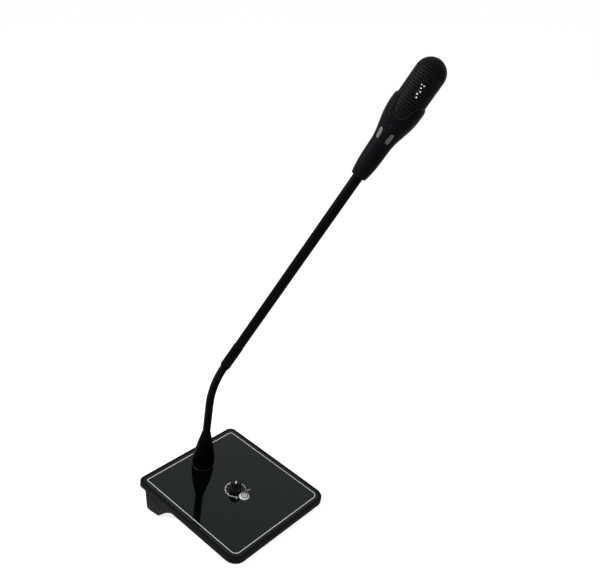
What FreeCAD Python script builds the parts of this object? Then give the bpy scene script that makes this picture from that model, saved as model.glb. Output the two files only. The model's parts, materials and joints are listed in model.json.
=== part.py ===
import FreeCAD, Part
import math
import os

from FreeCAD import Matrix, Placement, Rotation, Vector

# Gooseneck podium microphone.
# Lengths are in millimetres and angles in degrees. +X is the speaker's right, +Y the back and +Z up.
# The origin is on the table, where the axis of the neck's foot meets it.
# The base is drawn in the panel's own frame: x right, y back, z along the panel's normal, with its
# origin at the centre of the panel's top face.

# ---- Base: panel and housings ----
BASE_WIDTH = 130.0
BASE_DEPTH = 139.0
BASE_FRONT_CORNER_RADIUS = 12.0
BASE_REAR_CORNER_RADIUS = 7.0
PANEL_TILT = 11.2
PANEL_FRONT_HEIGHT = 6.5
PANEL_THICKNESS = 2.0
PANEL_BEVEL = 0.4
SHADOW_GAP_HEIGHT = 0.8
SHADOW_GAP_DEPTH = 0.8
TRAY_HEIGHT = 2.6
DECK_THICKNESS = 1.6
TRAY_WALL = 2.2
COVER_THICKNESS = 1.4

# ---- Base: the rear hump of the bottom housing ----
HUMP_WIDTH = 125.0
HUMP_WALL = 2.2
HUMP_REAR_INSET = 5.3
HUMP_FLAT_LENGTH = 20.2
HUMP_REAR_RADIUS = 8.0
HUMP_TOE_RADIUS = 2.5
HUMP_FRONT_SLOPE = 38.0
HUMP_BLEND_RADIUS = 34.0
HUMP_SIDE_CORNER_RADIUS = 4.0

# ---- Base: the shallow pan that holds the controls' board ----
PAN_WIDTH = 50.0
PAN_FRONT = 29.0
PAN_STUD_GAP = 1.4
PAN_WALL = 1.4
PAN_CORNER_RADIUS = 5.0

# ---- Base: feet, ballast and screws ----
FOOT_HEIGHT = 0.9
REAR_FOOT_WIDTH = 88.0
REAR_FOOT_MARGIN = 1.2
FRONT_FOOT_WIDTH = 90.0
FRONT_FOOT_LENGTH = 8.0
FRONT_FOOT_EDGE_GAP = 3.5
BALLAST_WIDTH = 104.0
BALLAST_DEPTH = 10.0
BALLAST_HEIGHT = 5.0
REAR_SCREW_SIDE_GAP = 8.0
REAR_SCREW_HEAD_DEPTH = 7.5
REAR_BOSS_DROP = 4.0
BOSS_RADIUS = 3.8
FRONT_SCREW_SIDE_GAP = 10.0
FRONT_SCREW_EDGE_GAP = 15.0
SCREW_RADIUS = 1.25
SCREW_HEAD_RADIUS = 2.4
SCREW_HEAD_HEIGHT = 1.6
SCREW_TIP_COVER = 0.6
SCREW_HEAD_CLEARANCE = 0.3

# ---- Base: the controls ----
KNOB_FORWARD = 3.6
KNOB_DIAMETER = 12.0
KNOB_HEIGHT = 12.0
KNOB_SKIRT_HEIGHT = 2.2
KNOB_GRIP_INSET = 0.5
KNOB_TOP_BEVEL = 0.9
KNOB_FLUTE_COUNT = 14
KNOB_FLUTE_RADIUS = 0.75
KNOB_POINTER_WIDTH = 1.2
KNOB_POINTER_DEPTH = 0.4
KNOB_REST_TURN = 120.0
KNOB_GAP = 0.4
SHAFT_RADIUS = 3.0
SHAFT_FLAT_DEPTH = 1.5
SHAFT_ENGAGEMENT = 7.5
SHAFT_HOLE_CLEARANCE = 0.5
RUNNING_CLEARANCE = 0.05
POT_WIDTH = 9.8
POT_DEPTH = 11.4
POT_HEIGHT = 6.2
POT_BEARING_DEPTH = 5.0
BUTTON_FORWARD = 16.0
BUTTON_DIAMETER = 8.8
BUTTON_PROUD = 0.7
BUTTON_TRAVEL = 1.0
BUTTON_TOP_BEVEL = 0.3
BUTTON_FLANGE_WIDTH = 0.8
BUTTON_FLANGE_HEIGHT = 1.0
BEZEL_DIAMETER = 11.2
BEZEL_HEIGHT = 0.6
BEZEL_WALL = 0.6
SWITCH_SIZE = 6.0
SWITCH_GAP = 0.5
PLUNGER_RADIUS = 1.7
PLUNGER_ENGAGEMENT = 1.8
BOARD_SIDE_GAP = 2.6
BOARD_FRONT_GAP = 2.6
BOARD_REAR_GAP = 1.6
BOARD_THICKNESS = 1.2
BOARD_STANDOFF = 1.0
BOARD_SCREW_INSET = 4.0
BOARD_SCREW_RADIUS = 0.9
BOARD_SCREW_HEAD_RADIUS = 1.8
BOARD_SCREW_HEAD_HEIGHT = 1.0
BOARD_SCREW_BITE = 1.4
BOARD_BOSS_RADIUS = 2.4

# ---- Base: the rear output socket ----
JACK_X = -32.0
JACK_ROOF_GAP = 0.4815
JACK_BORE_RADIUS = 3.25
JACK_THREAD_RADIUS = 4.7
JACK_HOLE_CLEARANCE = 0.1
JACK_BODY_WIDTH = 14.0
JACK_BODY_HEIGHT = 13.0
JACK_BODY_LENGTH = 19.0
JACK_BODY_WALL = 1.5
JACK_NUT_FLATS = 12.0
JACK_NUT_THICKNESS = 2.4
JACK_WASHER_RADIUS = 6.6
JACK_WASHER_THICKNESS = 0.6
JACK_BUSH_PROUD = 0.5

# ---- Neck foot ----
NECK_EDGE_GAP = 24.6
STUD_RADIUS = 5.8
STUD_HOLE_CLEARANCE = 0.2
STUD_BELOW_DECK = 7.0
STUD_FLANGE_RADIUS = 8.0
STUD_FLANGE_HEIGHT = 2.5
NECK_NUT_FLATS = 16.0
NECK_NUT_THICKNESS = 4.0
NECK_WASHER_RADIUS = 9.5
NECK_WASHER_THICKNESS = 1.2
WIRE_BORE_RADIUS = 1.8
BOOT_HEIGHT = 42.0
BOOT_RADIUS = 11.2
BOOT_BELLY_HEIGHT = 5.5
BOOT_SHOULDER_RADIUS = 9.9
BOOT_SHOULDER_HEIGHT = 17.0
BOOT_WAIST_RADIUS = 7.1
BOOT_WAIST_HEIGHT = 31.0
BOOT_FOOT_RADIUS = 10.4
BOOT_FOOT_FLARE = 14.0
BOOT_LIP = 0.5

# ---- Gooseneck ----
NECK_RADIUS = 4.05
NECK_AZIMUTH = 44.0
PIVOT_FIRST = 47.2
PIVOT_LAST_GAP = 3.25
PIVOT_COUNT = 8
NECK_STRAIGHT = 76.1
NECK_BEND_RADIUS = 115.0
NECK_LEAN = 24.15
BALL_CLEARANCE = 0.25
BALL_STEPS = 3
CUP_STEPS = 2
CUP_RIM_WIDTH = 0.15
CUP_RIM_BEVEL = 0.35
COILS_PER_LINK = 4
COIL_GROOVE_DEPTH = 0.35

# ---- Rigid arm ----
FERRULE_LENGTH = 27.0
FERRULE_RADIUS = 5.1
FERRULE_TAPER = 2.2
FERRULE_TOP_BEVEL = 0.3
FERRULE_LIP = 0.25
NECK_INSERT_LENGTH = 11.0
TUBE_RADIUS = 4.75
TUBE_WALL = 0.7
TUBE_OVERLAP = 14.0
ARM_LENGTH = 226.2
TUBE_IN_HEAD = 13.0
BORE_FIT = 0.05

# ---- Head ----
HEAD_TWIST = -26.0
HEAD_LENGTH = 113.2
HEAD_TAIL_RADIUS = 7.1
HEAD_TAIL_BEVEL = 0.7
HEAD_TAIL_FLARE = 14.6
HEAD_TAIL_STATIONS = ((8.3, 8.0), (9.2, 20.0))
HEAD_WAIST_RADIUS = 9.5
HEAD_WAIST_HEIGHT = 34.0
HEAD_SWELL_STATIONS = ((11.3, 44.0), (14.0, 55.0))
HEAD_COLLAR_RADIUS = 15.1
HEAD_COLLAR_MIDDLE = 66.5
HEAD_COLLAR_TOP = 75.0
HEAD_COLLAR_TOP_RADIUS = 14.8
TUBE_STOP_THICKNESS = 2.0
CAVITY_RADIUS = 7.2
LIGHT_CENTRE = 41.0
LIGHT_COUNT = 6
LIGHT_LENGTH = 10.0
LIGHT_WIDTH = 4.2
LIGHT_CORNER_SHARE = 0.96
LIGHT_RECESS = 0.25
LIGHT_FIT = 0.05
LIGHT_RING_LENGTH = 14.0
LIGHT_RING_RADIUS = 8.3
LIGHT_RING_WALL = 1.3
LED_BOARD_THICKNESS = 1.0
LED_SIZE = 1.6
LED_HEIGHT = 0.8
LED_GAP = 0.2
GRILLE_SEAT = 54.5
GRILLE_RADIUS = 13.4
GRILLE_WALL = 0.7
GRILLE_FIT = 0.12
GRILLE_HOLE_RADIUS = 0.88
GRILLE_HOLE_SIDES = 6
GRILLE_HOLES_AROUND = 22
GRILLE_ROW_PITCH = 3.55
GRILLE_PLAIN_RIM = 4.2
DOME_HOLE_SHARE = 0.75
DOME_FIRST_RING = 0.75
DOME_STEPS = 5
NOTCH_BOTTOM = 59.0
NOTCH_BOTTOM_WIDTH = 10.4
NOTCH_TOP_WIDTH = 19.0
NOTCH_SHOULDER_RADIUS = 6.0
NOTCH_ROOT_RADIUS = 4.5
NOTCH_FLARE = 0.3
NOTCH_NEUTRAL_RADIUS = 11.25
CARRIER_STEM_LENGTH = 5.5
CARRIER_FLANGE_HEIGHT = 3.0
CARRIER_CUP_RADIUS = 6.4
CARRIER_CUP_HEIGHT = 10.5
CAPSULE_RADIUS = 4.85
CAPSULE_HEIGHT = 6.7
SET_SCREW_HEIGHT = 51.4
SET_SCREW_RADIUS = 0.8
SET_SCREW_RECESS = 0.3
SET_SCREW_SOCKET = 0.4

# ---- Places worked out from the sizes above ----
TRAY_TOP = -PANEL_THICKNESS
DECK_BOTTOM = TRAY_TOP - DECK_THICKNESS
TRAY_BOTTOM = TRAY_TOP - TRAY_HEIGHT
COVER_BOTTOM = TRAY_BOTTOM - COVER_THICKNESS
BOARD_TOP = DECK_BOTTOM - POT_HEIGHT
BOARD_BOTTOM = BOARD_TOP - BOARD_THICKNESS
PAN_FLOOR = BOARD_BOTTOM - BOARD_STANDOFF
PAN_BOTTOM = PAN_FLOOR - PAN_WALL
REAR_BOSS_BOTTOM = DECK_BOTTOM - REAR_BOSS_DROP
REAR_SCREW_SEAT = REAR_BOSS_BOTTOM - REAR_SCREW_HEAD_DEPTH
SIN_TILT = math.sin(math.radians(PANEL_TILT))
COS_TILT = math.cos(math.radians(PANEL_TILT))
TAN_TILT = SIN_TILT / COS_TILT
PANEL_CENTRE_HEIGHT = PANEL_FRONT_HEIGHT + BASE_DEPTH / 2 * SIN_TILT
NECK_SETBACK = BASE_DEPTH / 2 - NECK_EDGE_GAP
NECK_FOOT_HEIGHT = PANEL_CENTRE_HEIGHT + NECK_SETBACK * SIN_TILT
PANEL_CENTRE_Y = -NECK_FOOT_HEIGHT * TAN_TILT - NECK_SETBACK * COS_TILT
PAN_REAR = NECK_SETBACK - NECK_WASHER_RADIUS - PAN_STUD_GAP
BOARD_WIDTH = PAN_WIDTH - 2 * (PAN_WALL + BOARD_SIDE_GAP)
BOARD_FRONT = PAN_FRONT - PAN_WALL - BOARD_FRONT_GAP
BOARD_REAR = PAN_REAR - PAN_WALL - BOARD_REAR_GAP
HUMP_REAR_Y = PANEL_CENTRE_Y + BASE_DEPTH / 2 * COS_TILT - HUMP_REAR_INSET
JACK_END_Y = HUMP_REAR_Y - HUMP_WALL - JACK_BODY_LENGTH
JACK_ROOF = PANEL_CENTRE_HEIGHT + (JACK_END_Y - PANEL_CENTRE_Y) * TAN_TILT + DECK_BOTTOM / COS_TILT
JACK_HEIGHT = JACK_ROOF - JACK_ROOF_GAP - JACK_BODY_HEIGHT / 2
SHAFT_TOP = KNOB_GAP + SHAFT_ENGAGEMENT + KNOB_SKIRT_HEIGHT
BUTTON_TOP = BEZEL_HEIGHT + BUTTON_PROUD
BEZEL_BORE = BUTTON_DIAMETER / 2 + RUNNING_CLEARANCE
SWITCH_TOP = DECK_BOTTOM - BUTTON_FLANGE_HEIGHT - BUTTON_TRAVEL - SWITCH_GAP
BOOT_BORE = NECK_RADIUS + BORE_FIT
LEAN_END = NECK_STRAIGHT + NECK_BEND_RADIUS * math.radians(NECK_LEAN)
PIVOT_PITCH = (LEAN_END - PIVOT_LAST_GAP - PIVOT_FIRST) / (PIVOT_COUNT - 1)
CUP_RADIUS = NECK_RADIUS + BALL_CLEARANCE
CUP_RIM_HEIGHT = math.sqrt(CUP_RADIUS**2 - (NECK_RADIUS - CUP_RIM_WIDTH) ** 2)
LIGHT_RING_LOW = LIGHT_CENTRE - LIGHT_RING_LENGTH / 2
LED_LEDGE = LIGHT_RING_LOW - LED_GAP - LED_HEIGHT - LED_BOARD_THICKNESS
LIGHT_BORE = LIGHT_RING_RADIUS + LIGHT_FIT
GRILLE_BORE = GRILLE_RADIUS + GRILLE_FIT
DOME_CENTRE = HEAD_LENGTH - GRILLE_RADIUS
CARRIER_LOW = GRILLE_SEAT - CARRIER_STEM_LENGTH
OVERCUT = 1.0
PROFILE_STEP = 9.0
HEAD_BLANK_TOP = HEAD_COLLAR_TOP + OVERCUT

UP = Vector(0, 0, 1)
PANEL_PLACEMENT = Placement(
    Vector(0, PANEL_CENTRE_Y, PANEL_CENTRE_HEIGHT), Rotation(Vector(1, 0, 0), PANEL_TILT)
)


# ---- Drawing helpers ----
def on_panel(shape):
    """Carry a shape from the panel's frame to the part's frame."""
    placed = shape.copy()
    placed.Placement = PANEL_PLACEMENT.multiply(placed.Placement)
    return placed


def cylinder(radius, low, high, x=0.0, y=0.0):
    """A cylinder along z from low to high."""
    return Part.makeCylinder(radius, high - low, Vector(x, y, low))


def tube(outer, inner, low, high, x=0.0, y=0.0):
    """A ring-shaped solid along z."""
    return cylinder(outer, low, high, x, y).cut(cylinder(inner, low - OVERCUT, high + OVERCUT, x, y))


def box(x_low, x_high, y_low, y_high, z_low, z_high):
    """A box between two corners."""
    return Part.makeBox(
        x_high - x_low, y_high - y_low, z_high - z_low, Vector(x_low, y_low, z_low)
    )


def hexagon(flats, low, high, x=0.0, y=0.0):
    """A hexagonal prism along z, measured across its flats."""
    return prism(flats / 2 / math.cos(math.pi / 6), 6, low, high, x, y)


def prism(radius, sides, low, high, x=0.0, y=0.0):
    """A regular prism along z whose corners lie at the radius."""
    turns = [2 * math.pi * (k + 0.5) / sides for k in range(sides)]
    ring = [Vector(x + radius * math.cos(t), y + radius * math.sin(t), low) for t in turns]
    face = Part.Face(Part.makePolygon(ring + ring[:1]))
    return face.extrude(Vector(0, 0, high - low))


def rounded_wire(corners, radii):
    """A closed flat wire through the corners, each rounded by its radius."""
    edges = []
    ends = []
    for i, (corner, radius) in enumerate(zip(corners, radii)):
        before = (corners[i - 1] - corner).normalize()
        after = (corners[(i + 1) % len(corners)] - corner).normalize()
        half = before.getAngle(after) / 2
        if radius <= 0:
            ends.append((corner, corner))
            continue
        start = corner + before * (radius / math.tan(half))
        stop = corner + after * (radius / math.tan(half))
        inward = (before + after).normalize()
        middle = corner + inward * (radius / math.sin(half) - radius)
        edges.append(Part.Arc(start, middle, stop).toShape())
        ends.append((start, stop))
    for i, (start, stop) in enumerate(ends):
        following = ends[(i + 1) % len(ends)][0]
        if (following - stop).Length > 1e-6:
            edges.append(Part.makeLine(stop, following))
    return Part.Wire(Part.__sortEdges__(edges))


def slab(width, depth, radius, low, high, y=0.0):
    """A rounded rectangular plate centred on x = 0 and on the given y."""
    corners = [
        Vector(sx * width / 2, y + sy * depth / 2, low)
        for sx, sy in ((-1, -1), (1, -1), (1, 1), (-1, 1))
    ]
    face = Part.Face(rounded_wire(corners, [radius] * 4))
    return face.extrude(Vector(0, 0, high - low))


def base_slab(margin, low, high):
    """The base's outline, drawn in by a margin, as a plate in the panel's frame."""
    half_width = BASE_WIDTH / 2 - margin
    half_depth = BASE_DEPTH / 2 - margin
    corners = [
        Vector(sx * half_width, sy * half_depth, low) for sx, sy in ((-1, -1), (1, -1), (1, 1), (-1, 1))
    ]
    front = BASE_FRONT_CORNER_RADIUS - margin
    rear = BASE_REAR_CORNER_RADIUS - margin
    face = Part.Face(rounded_wire(corners, [front, front, rear, rear]))
    return face.extrude(Vector(0, 0, high - low))


def bent_points(flare, *points):
    """Points along arcs through (radius, height) points, each arc starting as the last one ended.

    The first arc starts at the flare angle from the axis, outwards.
    """
    heading = math.radians(flare)
    result = [points[0]]
    for (r_a, z_a), (r_b, z_b) in zip(points, points[1:]):
        chord = math.atan2(r_b - r_a, z_b - z_a)
        turn = 2 * (chord - heading)
        length = math.hypot(r_b - r_a, z_b - z_a)
        count = max(1, math.ceil(abs(math.degrees(turn)) / PROFILE_STEP))
        for k in range(1, count):
            part = k / count
            reach = length * math.sin(turn * part / 2) / math.sin(turn / 2)
            angle = heading + turn * part / 2
            result.append((r_a + reach * math.sin(angle), z_a + reach * math.cos(angle)))
        result.append((r_b, z_b))
        heading += turn
    return result


def round_points(centre_z, radius, start, stop, count):
    """Points of a circle centred on the axis, from one elevation angle to another."""
    angles = [math.radians(start + (stop - start) * k / count) for k in range(count + 1)]
    return [(radius * math.cos(a), centre_z + radius * math.sin(a)) for a in angles]


def lathe(*points):
    """Turn the closed outline through (radius, height) points about the z axis."""
    corners = [Vector(r, 0, z) for r, z in points]
    face = Part.Face(Part.makePolygon(corners + corners[:1]))
    return face.revolve(Vector(0, 0, 0), UP, 360)


# ---- The neck's path and the frames along it ----
def neck_point(distance):
    """The point of the neck's centre line at a distance from the panel, in the part's frame."""
    lean = math.radians(NECK_LEAN)
    if distance <= NECK_STRAIGHT:
        out, along = 0.0, distance
    elif distance <= LEAN_END:
        turn = (distance - NECK_STRAIGHT) / NECK_BEND_RADIUS
        out = NECK_BEND_RADIUS * (1 - math.cos(turn))
        along = NECK_STRAIGHT + NECK_BEND_RADIUS * math.sin(turn)
    else:
        rest = distance - LEAN_END
        out = NECK_BEND_RADIUS * (1 - math.cos(lean)) + rest * math.sin(lean)
        along = NECK_STRAIGHT + NECK_BEND_RADIUS * math.sin(lean) + rest * math.cos(lean)
    azimuth = math.radians(NECK_AZIMUTH)
    local = Vector(out * math.sin(azimuth), NECK_SETBACK - out * math.cos(azimuth), along)
    return PANEL_PLACEMENT.multVec(local)


def lean_plane_normal():
    """The unit vector square to the plane in which the neck leans, towards the front left."""
    azimuth = math.radians(NECK_AZIMUTH)
    local = Vector(-math.cos(azimuth), -math.sin(azimuth), 0)
    return PANEL_PLACEMENT.Rotation.multVec(local)


def frame_along(start, towards):
    """A placement with its origin at start, z towards a point, and x square to the lean plane."""
    z_axis = (towards - start).normalize()
    x_axis = lean_plane_normal()
    y_axis = z_axis.cross(x_axis).normalize()
    x_axis = y_axis.cross(z_axis)
    matrix = Matrix(
        x_axis.x, y_axis.x, z_axis.x, start.x,
        x_axis.y, y_axis.y, z_axis.y, start.y,
        x_axis.z, y_axis.z, z_axis.z, start.z,
    )
    return Placement(matrix)


def placed(shape, placement):
    """A copy of a shape at a placement."""
    moved = shape.copy()
    moved.Placement = placement.multiply(moved.Placement)
    return moved


PIVOTS = [neck_point(PIVOT_FIRST + i * PIVOT_PITCH) for i in range(PIVOT_COUNT)]
ARM_START = neck_point(LEAN_END)
HEAD_START = neck_point(LEAN_END + ARM_LENGTH)
ARM_FRAME = frame_along(ARM_START, HEAD_START)
HEAD_FRAME = frame_along(HEAD_START, neck_point(LEAN_END + ARM_LENGTH + HEAD_LENGTH)).multiply(
    Placement(Vector(0, 0, 0), Rotation(UP, HEAD_TWIST))
)


# ---- Base: panel and housings ----
def top_panel():
    """The glossy sheet: rounded, bevelled, with holes for the neck, the shaft and the button."""
    sheet = base_slab(0, -PANEL_THICKNESS, 0)
    rim = [e for e in sheet.Edges if abs(e.BoundBox.ZMin) < 1e-6 and abs(e.BoundBox.ZMax) < 1e-6]
    sheet = sheet.makeChamfer(PANEL_BEVEL, rim)
    return on_panel(sheet.cut(deck_holes(-PANEL_THICKNESS - OVERCUT, OVERCUT)))


def deck_holes(low, high):
    """The holes that the panel and the tray's deck share."""
    stud = cylinder(STUD_RADIUS + STUD_HOLE_CLEARANCE, low, high, 0, NECK_SETBACK)
    shaft = cylinder(SHAFT_RADIUS + SHAFT_HOLE_CLEARANCE, low, high, 0, -KNOB_FORWARD)
    bezel = cylinder(BEZEL_BORE + BEZEL_WALL, low, high, 0, -BUTTON_FORWARD)
    return Part.makeCompound([stud, shaft, bezel])


def rear_screw_places():
    """Where the two long screws stand, in the panel's frame."""
    side = HUMP_WIDTH / 2 - REAR_SCREW_SIDE_GAP
    return [(-side, NECK_SETBACK), (side, NECK_SETBACK)]


def front_screw_places():
    """Where the two short screws stand, in the panel's frame."""
    side = BASE_WIDTH / 2 - FRONT_SCREW_SIDE_GAP
    front = -BASE_DEPTH / 2 + FRONT_SCREW_EDGE_GAP
    return [(-side, front), (side, front)]


def top_housing():
    """The tray under the panel: a deck, a rim with a shadow gap, and screw bosses."""
    neck = base_slab(SHADOW_GAP_DEPTH, TRAY_TOP - SHADOW_GAP_HEIGHT, TRAY_TOP)
    rim = base_slab(0, TRAY_BOTTOM, TRAY_TOP - SHADOW_GAP_HEIGHT)
    inside = base_slab(TRAY_WALL, TRAY_BOTTOM - OVERCUT, DECK_BOTTOM)
    tray = neck.fuse(rim).cut(inside)
    bosses = [
        cylinder(BOSS_RADIUS, REAR_BOSS_BOTTOM, DECK_BOTTOM, x, y)
        for x, y in rear_screw_places()
    ]
    bosses += [
        cylinder(BOSS_RADIUS, TRAY_BOTTOM, DECK_BOTTOM, x, y) for x, y in front_screw_places()
    ]
    tray = tray.fuse(bosses).removeSplitter()
    pilots = [
        cylinder(SCREW_RADIUS, REAR_BOSS_BOTTOM - OVERCUT, TRAY_TOP - SCREW_TIP_COVER, x, y)
        for x, y in rear_screw_places() + front_screw_places()
    ]
    return on_panel(tray.cut(pilots + [deck_holes(TRAY_BOTTOM - OVERCUT, TRAY_TOP + OVERCUT)]))


def hump_profile(inset, plate_low, radius_change):
    """The hump's side outline as a wire in the YZ plane, drawn in from its outside by inset."""
    slope = math.radians(HUMP_FRONT_SLOPE)
    rear = HUMP_REAR_Y - inset
    floor = FOOT_HEIGHT + inset
    outer_toe = HUMP_REAR_Y - HUMP_FLAT_LENGTH
    toe = outer_toe + inset * (1 - math.cos(slope)) / math.sin(slope)
    plate_at_origin = PANEL_CENTRE_HEIGHT - PANEL_CENTRE_Y * TAN_TILT + plate_low / COS_TILT
    knee_y = (floor + toe * math.tan(slope) - plate_at_origin) / (TAN_TILT + math.tan(slope))
    knee = Vector(0, knee_y, plate_at_origin + knee_y * TAN_TILT)
    blend = HUMP_BLEND_RADIUS + radius_change
    reach = blend * math.tan((slope + math.radians(PANEL_TILT)) / 2) + OVERCUT
    along = Vector(0, -COS_TILT, -SIN_TILT)
    normal = Vector(0, -SIN_TILT, COS_TILT)
    rear_top = Vector(0, rear, plate_at_origin + rear * TAN_TILT)
    lift = TRAY_HEIGHT + COVER_THICKNESS
    corners = [
        rear_top + Vector(0, 0, lift),
        Vector(0, rear, floor),
        Vector(0, toe, floor),
        knee,
        knee + along * reach,
        knee + along * reach + normal * lift,
    ]
    radii = [0, HUMP_REAR_RADIUS - inset, HUMP_TOE_RADIUS, blend, 0, 0]
    return rounded_wire(corners, radii)


def hump_block(inset, plate_low, radius_change, side_radius):
    """The hump as a solid: its side outline across the width, with rounded rear corners."""
    half = HUMP_WIDTH / 2 - inset
    face = Part.Face(hump_profile(inset, plate_low, radius_change))
    across = face.extrude(Vector(2 * half, 0, 0))
    across.translate(Vector(-half, 0, 0))
    front = PANEL_CENTRE_Y - BASE_DEPTH
    rear = HUMP_REAR_Y - inset
    plan = slab(2 * half, rear - front, side_radius, -BASE_DEPTH, BASE_DEPTH, (front + rear) / 2)
    return across.common(plan)


def hump_hollow():
    """The space inside the hump, open to the tray above it."""
    return hump_block(HUMP_WALL, TRAY_BOTTOM, HUMP_WALL, HUMP_SIDE_CORNER_RADIUS - HUMP_WALL)


def pan_block(margin, low, high):
    """The pan's outline, drawn in by a margin, as a solid in the panel's frame."""
    front = -PAN_FRONT + margin
    rear = PAN_REAR - margin
    width = PAN_WIDTH - 2 * margin
    return slab(width, rear - front, PAN_CORNER_RADIUS - margin, low, high, (front + rear) / 2)


def bottom_cover():
    """The thin plate under the tray, with openings for the pan and the hump."""
    plate = on_panel(base_slab(0, COVER_BOTTOM, TRAY_BOTTOM))
    cuts = [pan_block(0, COVER_BOTTOM - OVERCUT, TRAY_BOTTOM + OVERCUT)]
    cuts += [countersink(x, y) for x, y in front_screw_places()]
    return plate.cut([on_panel(cut) for cut in cuts] + [hump_hollow()])


def rear_housing():
    """The rear hump that tilts the base, with columns for the long screws."""
    reach = BASE_WIDTH + BASE_DEPTH
    below_cover = on_panel(box(-reach, reach, -reach, reach, -reach, COVER_BOTTOM))
    hump = hump_block(0, COVER_BOTTOM, 0, HUMP_SIDE_CORNER_RADIUS).common(below_cover)
    shell = hump.cut([hump_hollow(), on_panel(pan_block(0, PAN_BOTTOM, TRAY_BOTTOM))])
    columns = [
        on_panel(cylinder(BOSS_RADIUS, -BASE_DEPTH / 2, REAR_BOSS_BOTTOM, x, y)).common(hump)
        for x, y in rear_screw_places()
    ]
    head = SCREW_HEAD_RADIUS + SCREW_HEAD_CLEARANCE
    cuts = [cylinder(head, -BASE_DEPTH, REAR_SCREW_SEAT, x, y) for x, y in rear_screw_places()]
    cuts += [
        cylinder(SCREW_RADIUS, REAR_SCREW_SEAT - OVERCUT, DECK_BOTTOM, x, y)
        for x, y in rear_screw_places()
    ]
    solid = shell.fuse(columns).removeSplitter()
    return solid.cut([on_panel(cut) for cut in cuts] + [jack_hole()])


def controls_pan():
    """The shallow pan under the controls, with four bosses for their board."""
    pan = pan_block(0, PAN_BOTTOM, TRAY_BOTTOM).cut(pan_block(PAN_WALL, PAN_FLOOR, TRAY_BOTTOM + OVERCUT))
    bosses = [
        cylinder(BOARD_BOSS_RADIUS, PAN_FLOOR - PAN_WALL / 2, BOARD_BOTTOM, x, y)
        for x, y in board_screw_places()
    ]
    bite = BOARD_BOTTOM - BOARD_SCREW_BITE
    pilots = [
        cylinder(BOARD_SCREW_RADIUS, bite, BOARD_BOTTOM + OVERCUT, x, y) for x, y in board_screw_places()
    ]
    return on_panel(pan.fuse(bosses).removeSplitter().cut(pilots))


def countersink(x, y):
    """The cone and hole for a flat-headed screw in the thin floor."""
    cone = Part.makeCone(SCREW_HEAD_RADIUS, SCREW_RADIUS, COVER_THICKNESS, Vector(x, y, COVER_BOTTOM))
    return cone.fuse(cylinder(SCREW_RADIUS, COVER_BOTTOM, TRAY_BOTTOM + OVERCUT, x, y))


def housing_screws():
    """Two long screws up through the hump and two short flat-headed ones at the front."""
    solids = []
    tip = TRAY_TOP - SCREW_TIP_COVER
    seat = REAR_SCREW_SEAT
    for x, y in rear_screw_places():
        head = cylinder(SCREW_HEAD_RADIUS, seat - SCREW_HEAD_HEIGHT, seat, x, y)
        solids.append(head.fuse(cylinder(SCREW_RADIUS, seat, tip, x, y)))
    for x, y in front_screw_places():
        cone = Part.makeCone(SCREW_HEAD_RADIUS, SCREW_RADIUS, COVER_THICKNESS, Vector(x, y, COVER_BOTTOM))
        solids.append(cone.fuse(cylinder(SCREW_RADIUS, TRAY_BOTTOM, tip, x, y)))
    return on_panel(Part.makeCompound(solids))


def rear_foot():
    """The rubber strip under the hump's flat bottom; the part's rest face."""
    rear = HUMP_REAR_Y - HUMP_REAR_RADIUS - REAR_FOOT_MARGIN
    front = HUMP_REAR_Y - HUMP_FLAT_LENGTH + REAR_FOOT_MARGIN
    half = REAR_FOOT_WIDTH / 2
    return box(-half, half, front, rear, 0, FOOT_HEIGHT)


def front_foot():
    """The rubber wedge that fills the gap between the table and the front of the floor."""
    front = -BASE_DEPTH / 2 + FRONT_FOOT_EDGE_GAP
    rear = front + FRONT_FOOT_LENGTH
    half = FRONT_FOOT_WIDTH / 2
    strip = on_panel(box(-half, half, front, rear, COVER_BOTTOM - PANEL_CENTRE_HEIGHT, COVER_BOTTOM))
    above_table = box(-BASE_WIDTH, BASE_WIDTH, -2 * BASE_DEPTH, BASE_DEPTH, 0, 2 * PANEL_CENTRE_HEIGHT)
    return strip.common(above_table)


def ballast_plate():
    """The steel weight on the hump's floor."""
    floor = FOOT_HEIGHT + HUMP_WALL
    rear = HUMP_REAR_Y - HUMP_REAR_RADIUS
    half = BALLAST_WIDTH / 2
    return box(-half, half, rear - BALLAST_DEPTH, rear, floor, floor + BALLAST_HEIGHT).cut(
        [
            on_panel(cylinder(BOSS_RADIUS + 2 * SCREW_HEAD_CLEARANCE, -BASE_DEPTH, 0, x, y))
            for x, y in rear_screw_places()
        ]
    )


# ---- Base: the controls and their board ----
def board_screw_places():
    """The board's four fixing holes, in the panel's frame."""
    side = BOARD_WIDTH / 2 - BOARD_SCREW_INSET
    front = -BOARD_FRONT + BOARD_SCREW_INSET
    rear = BOARD_REAR - BOARD_SCREW_INSET
    return [(sx * side, y) for sx in (-1, 1) for y in (front, rear)]


def main_circuit_board():
    """The board that carries the potentiometer and the switch."""
    half = BOARD_WIDTH / 2
    plate = box(-half, half, -BOARD_FRONT, BOARD_REAR, BOARD_BOTTOM, BOARD_TOP)
    holes = [
        cylinder(BOARD_SCREW_RADIUS + RUNNING_CLEARANCE, BOARD_BOTTOM - OVERCUT, BOARD_TOP + OVERCUT, x, y)
        for x, y in board_screw_places()
    ]
    return on_panel(plate.cut(holes))


def board_screws():
    """Four small screws that hold the board to the belly's bosses."""
    solids = [
        cylinder(BOARD_SCREW_HEAD_RADIUS, BOARD_TOP, BOARD_TOP + BOARD_SCREW_HEAD_HEIGHT, x, y).fuse(
            cylinder(BOARD_SCREW_RADIUS, BOARD_BOTTOM - BOARD_SCREW_BITE, BOARD_TOP, x, y)
        )
        for x, y in board_screw_places()
    ]
    return on_panel(Part.makeCompound(solids))


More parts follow.
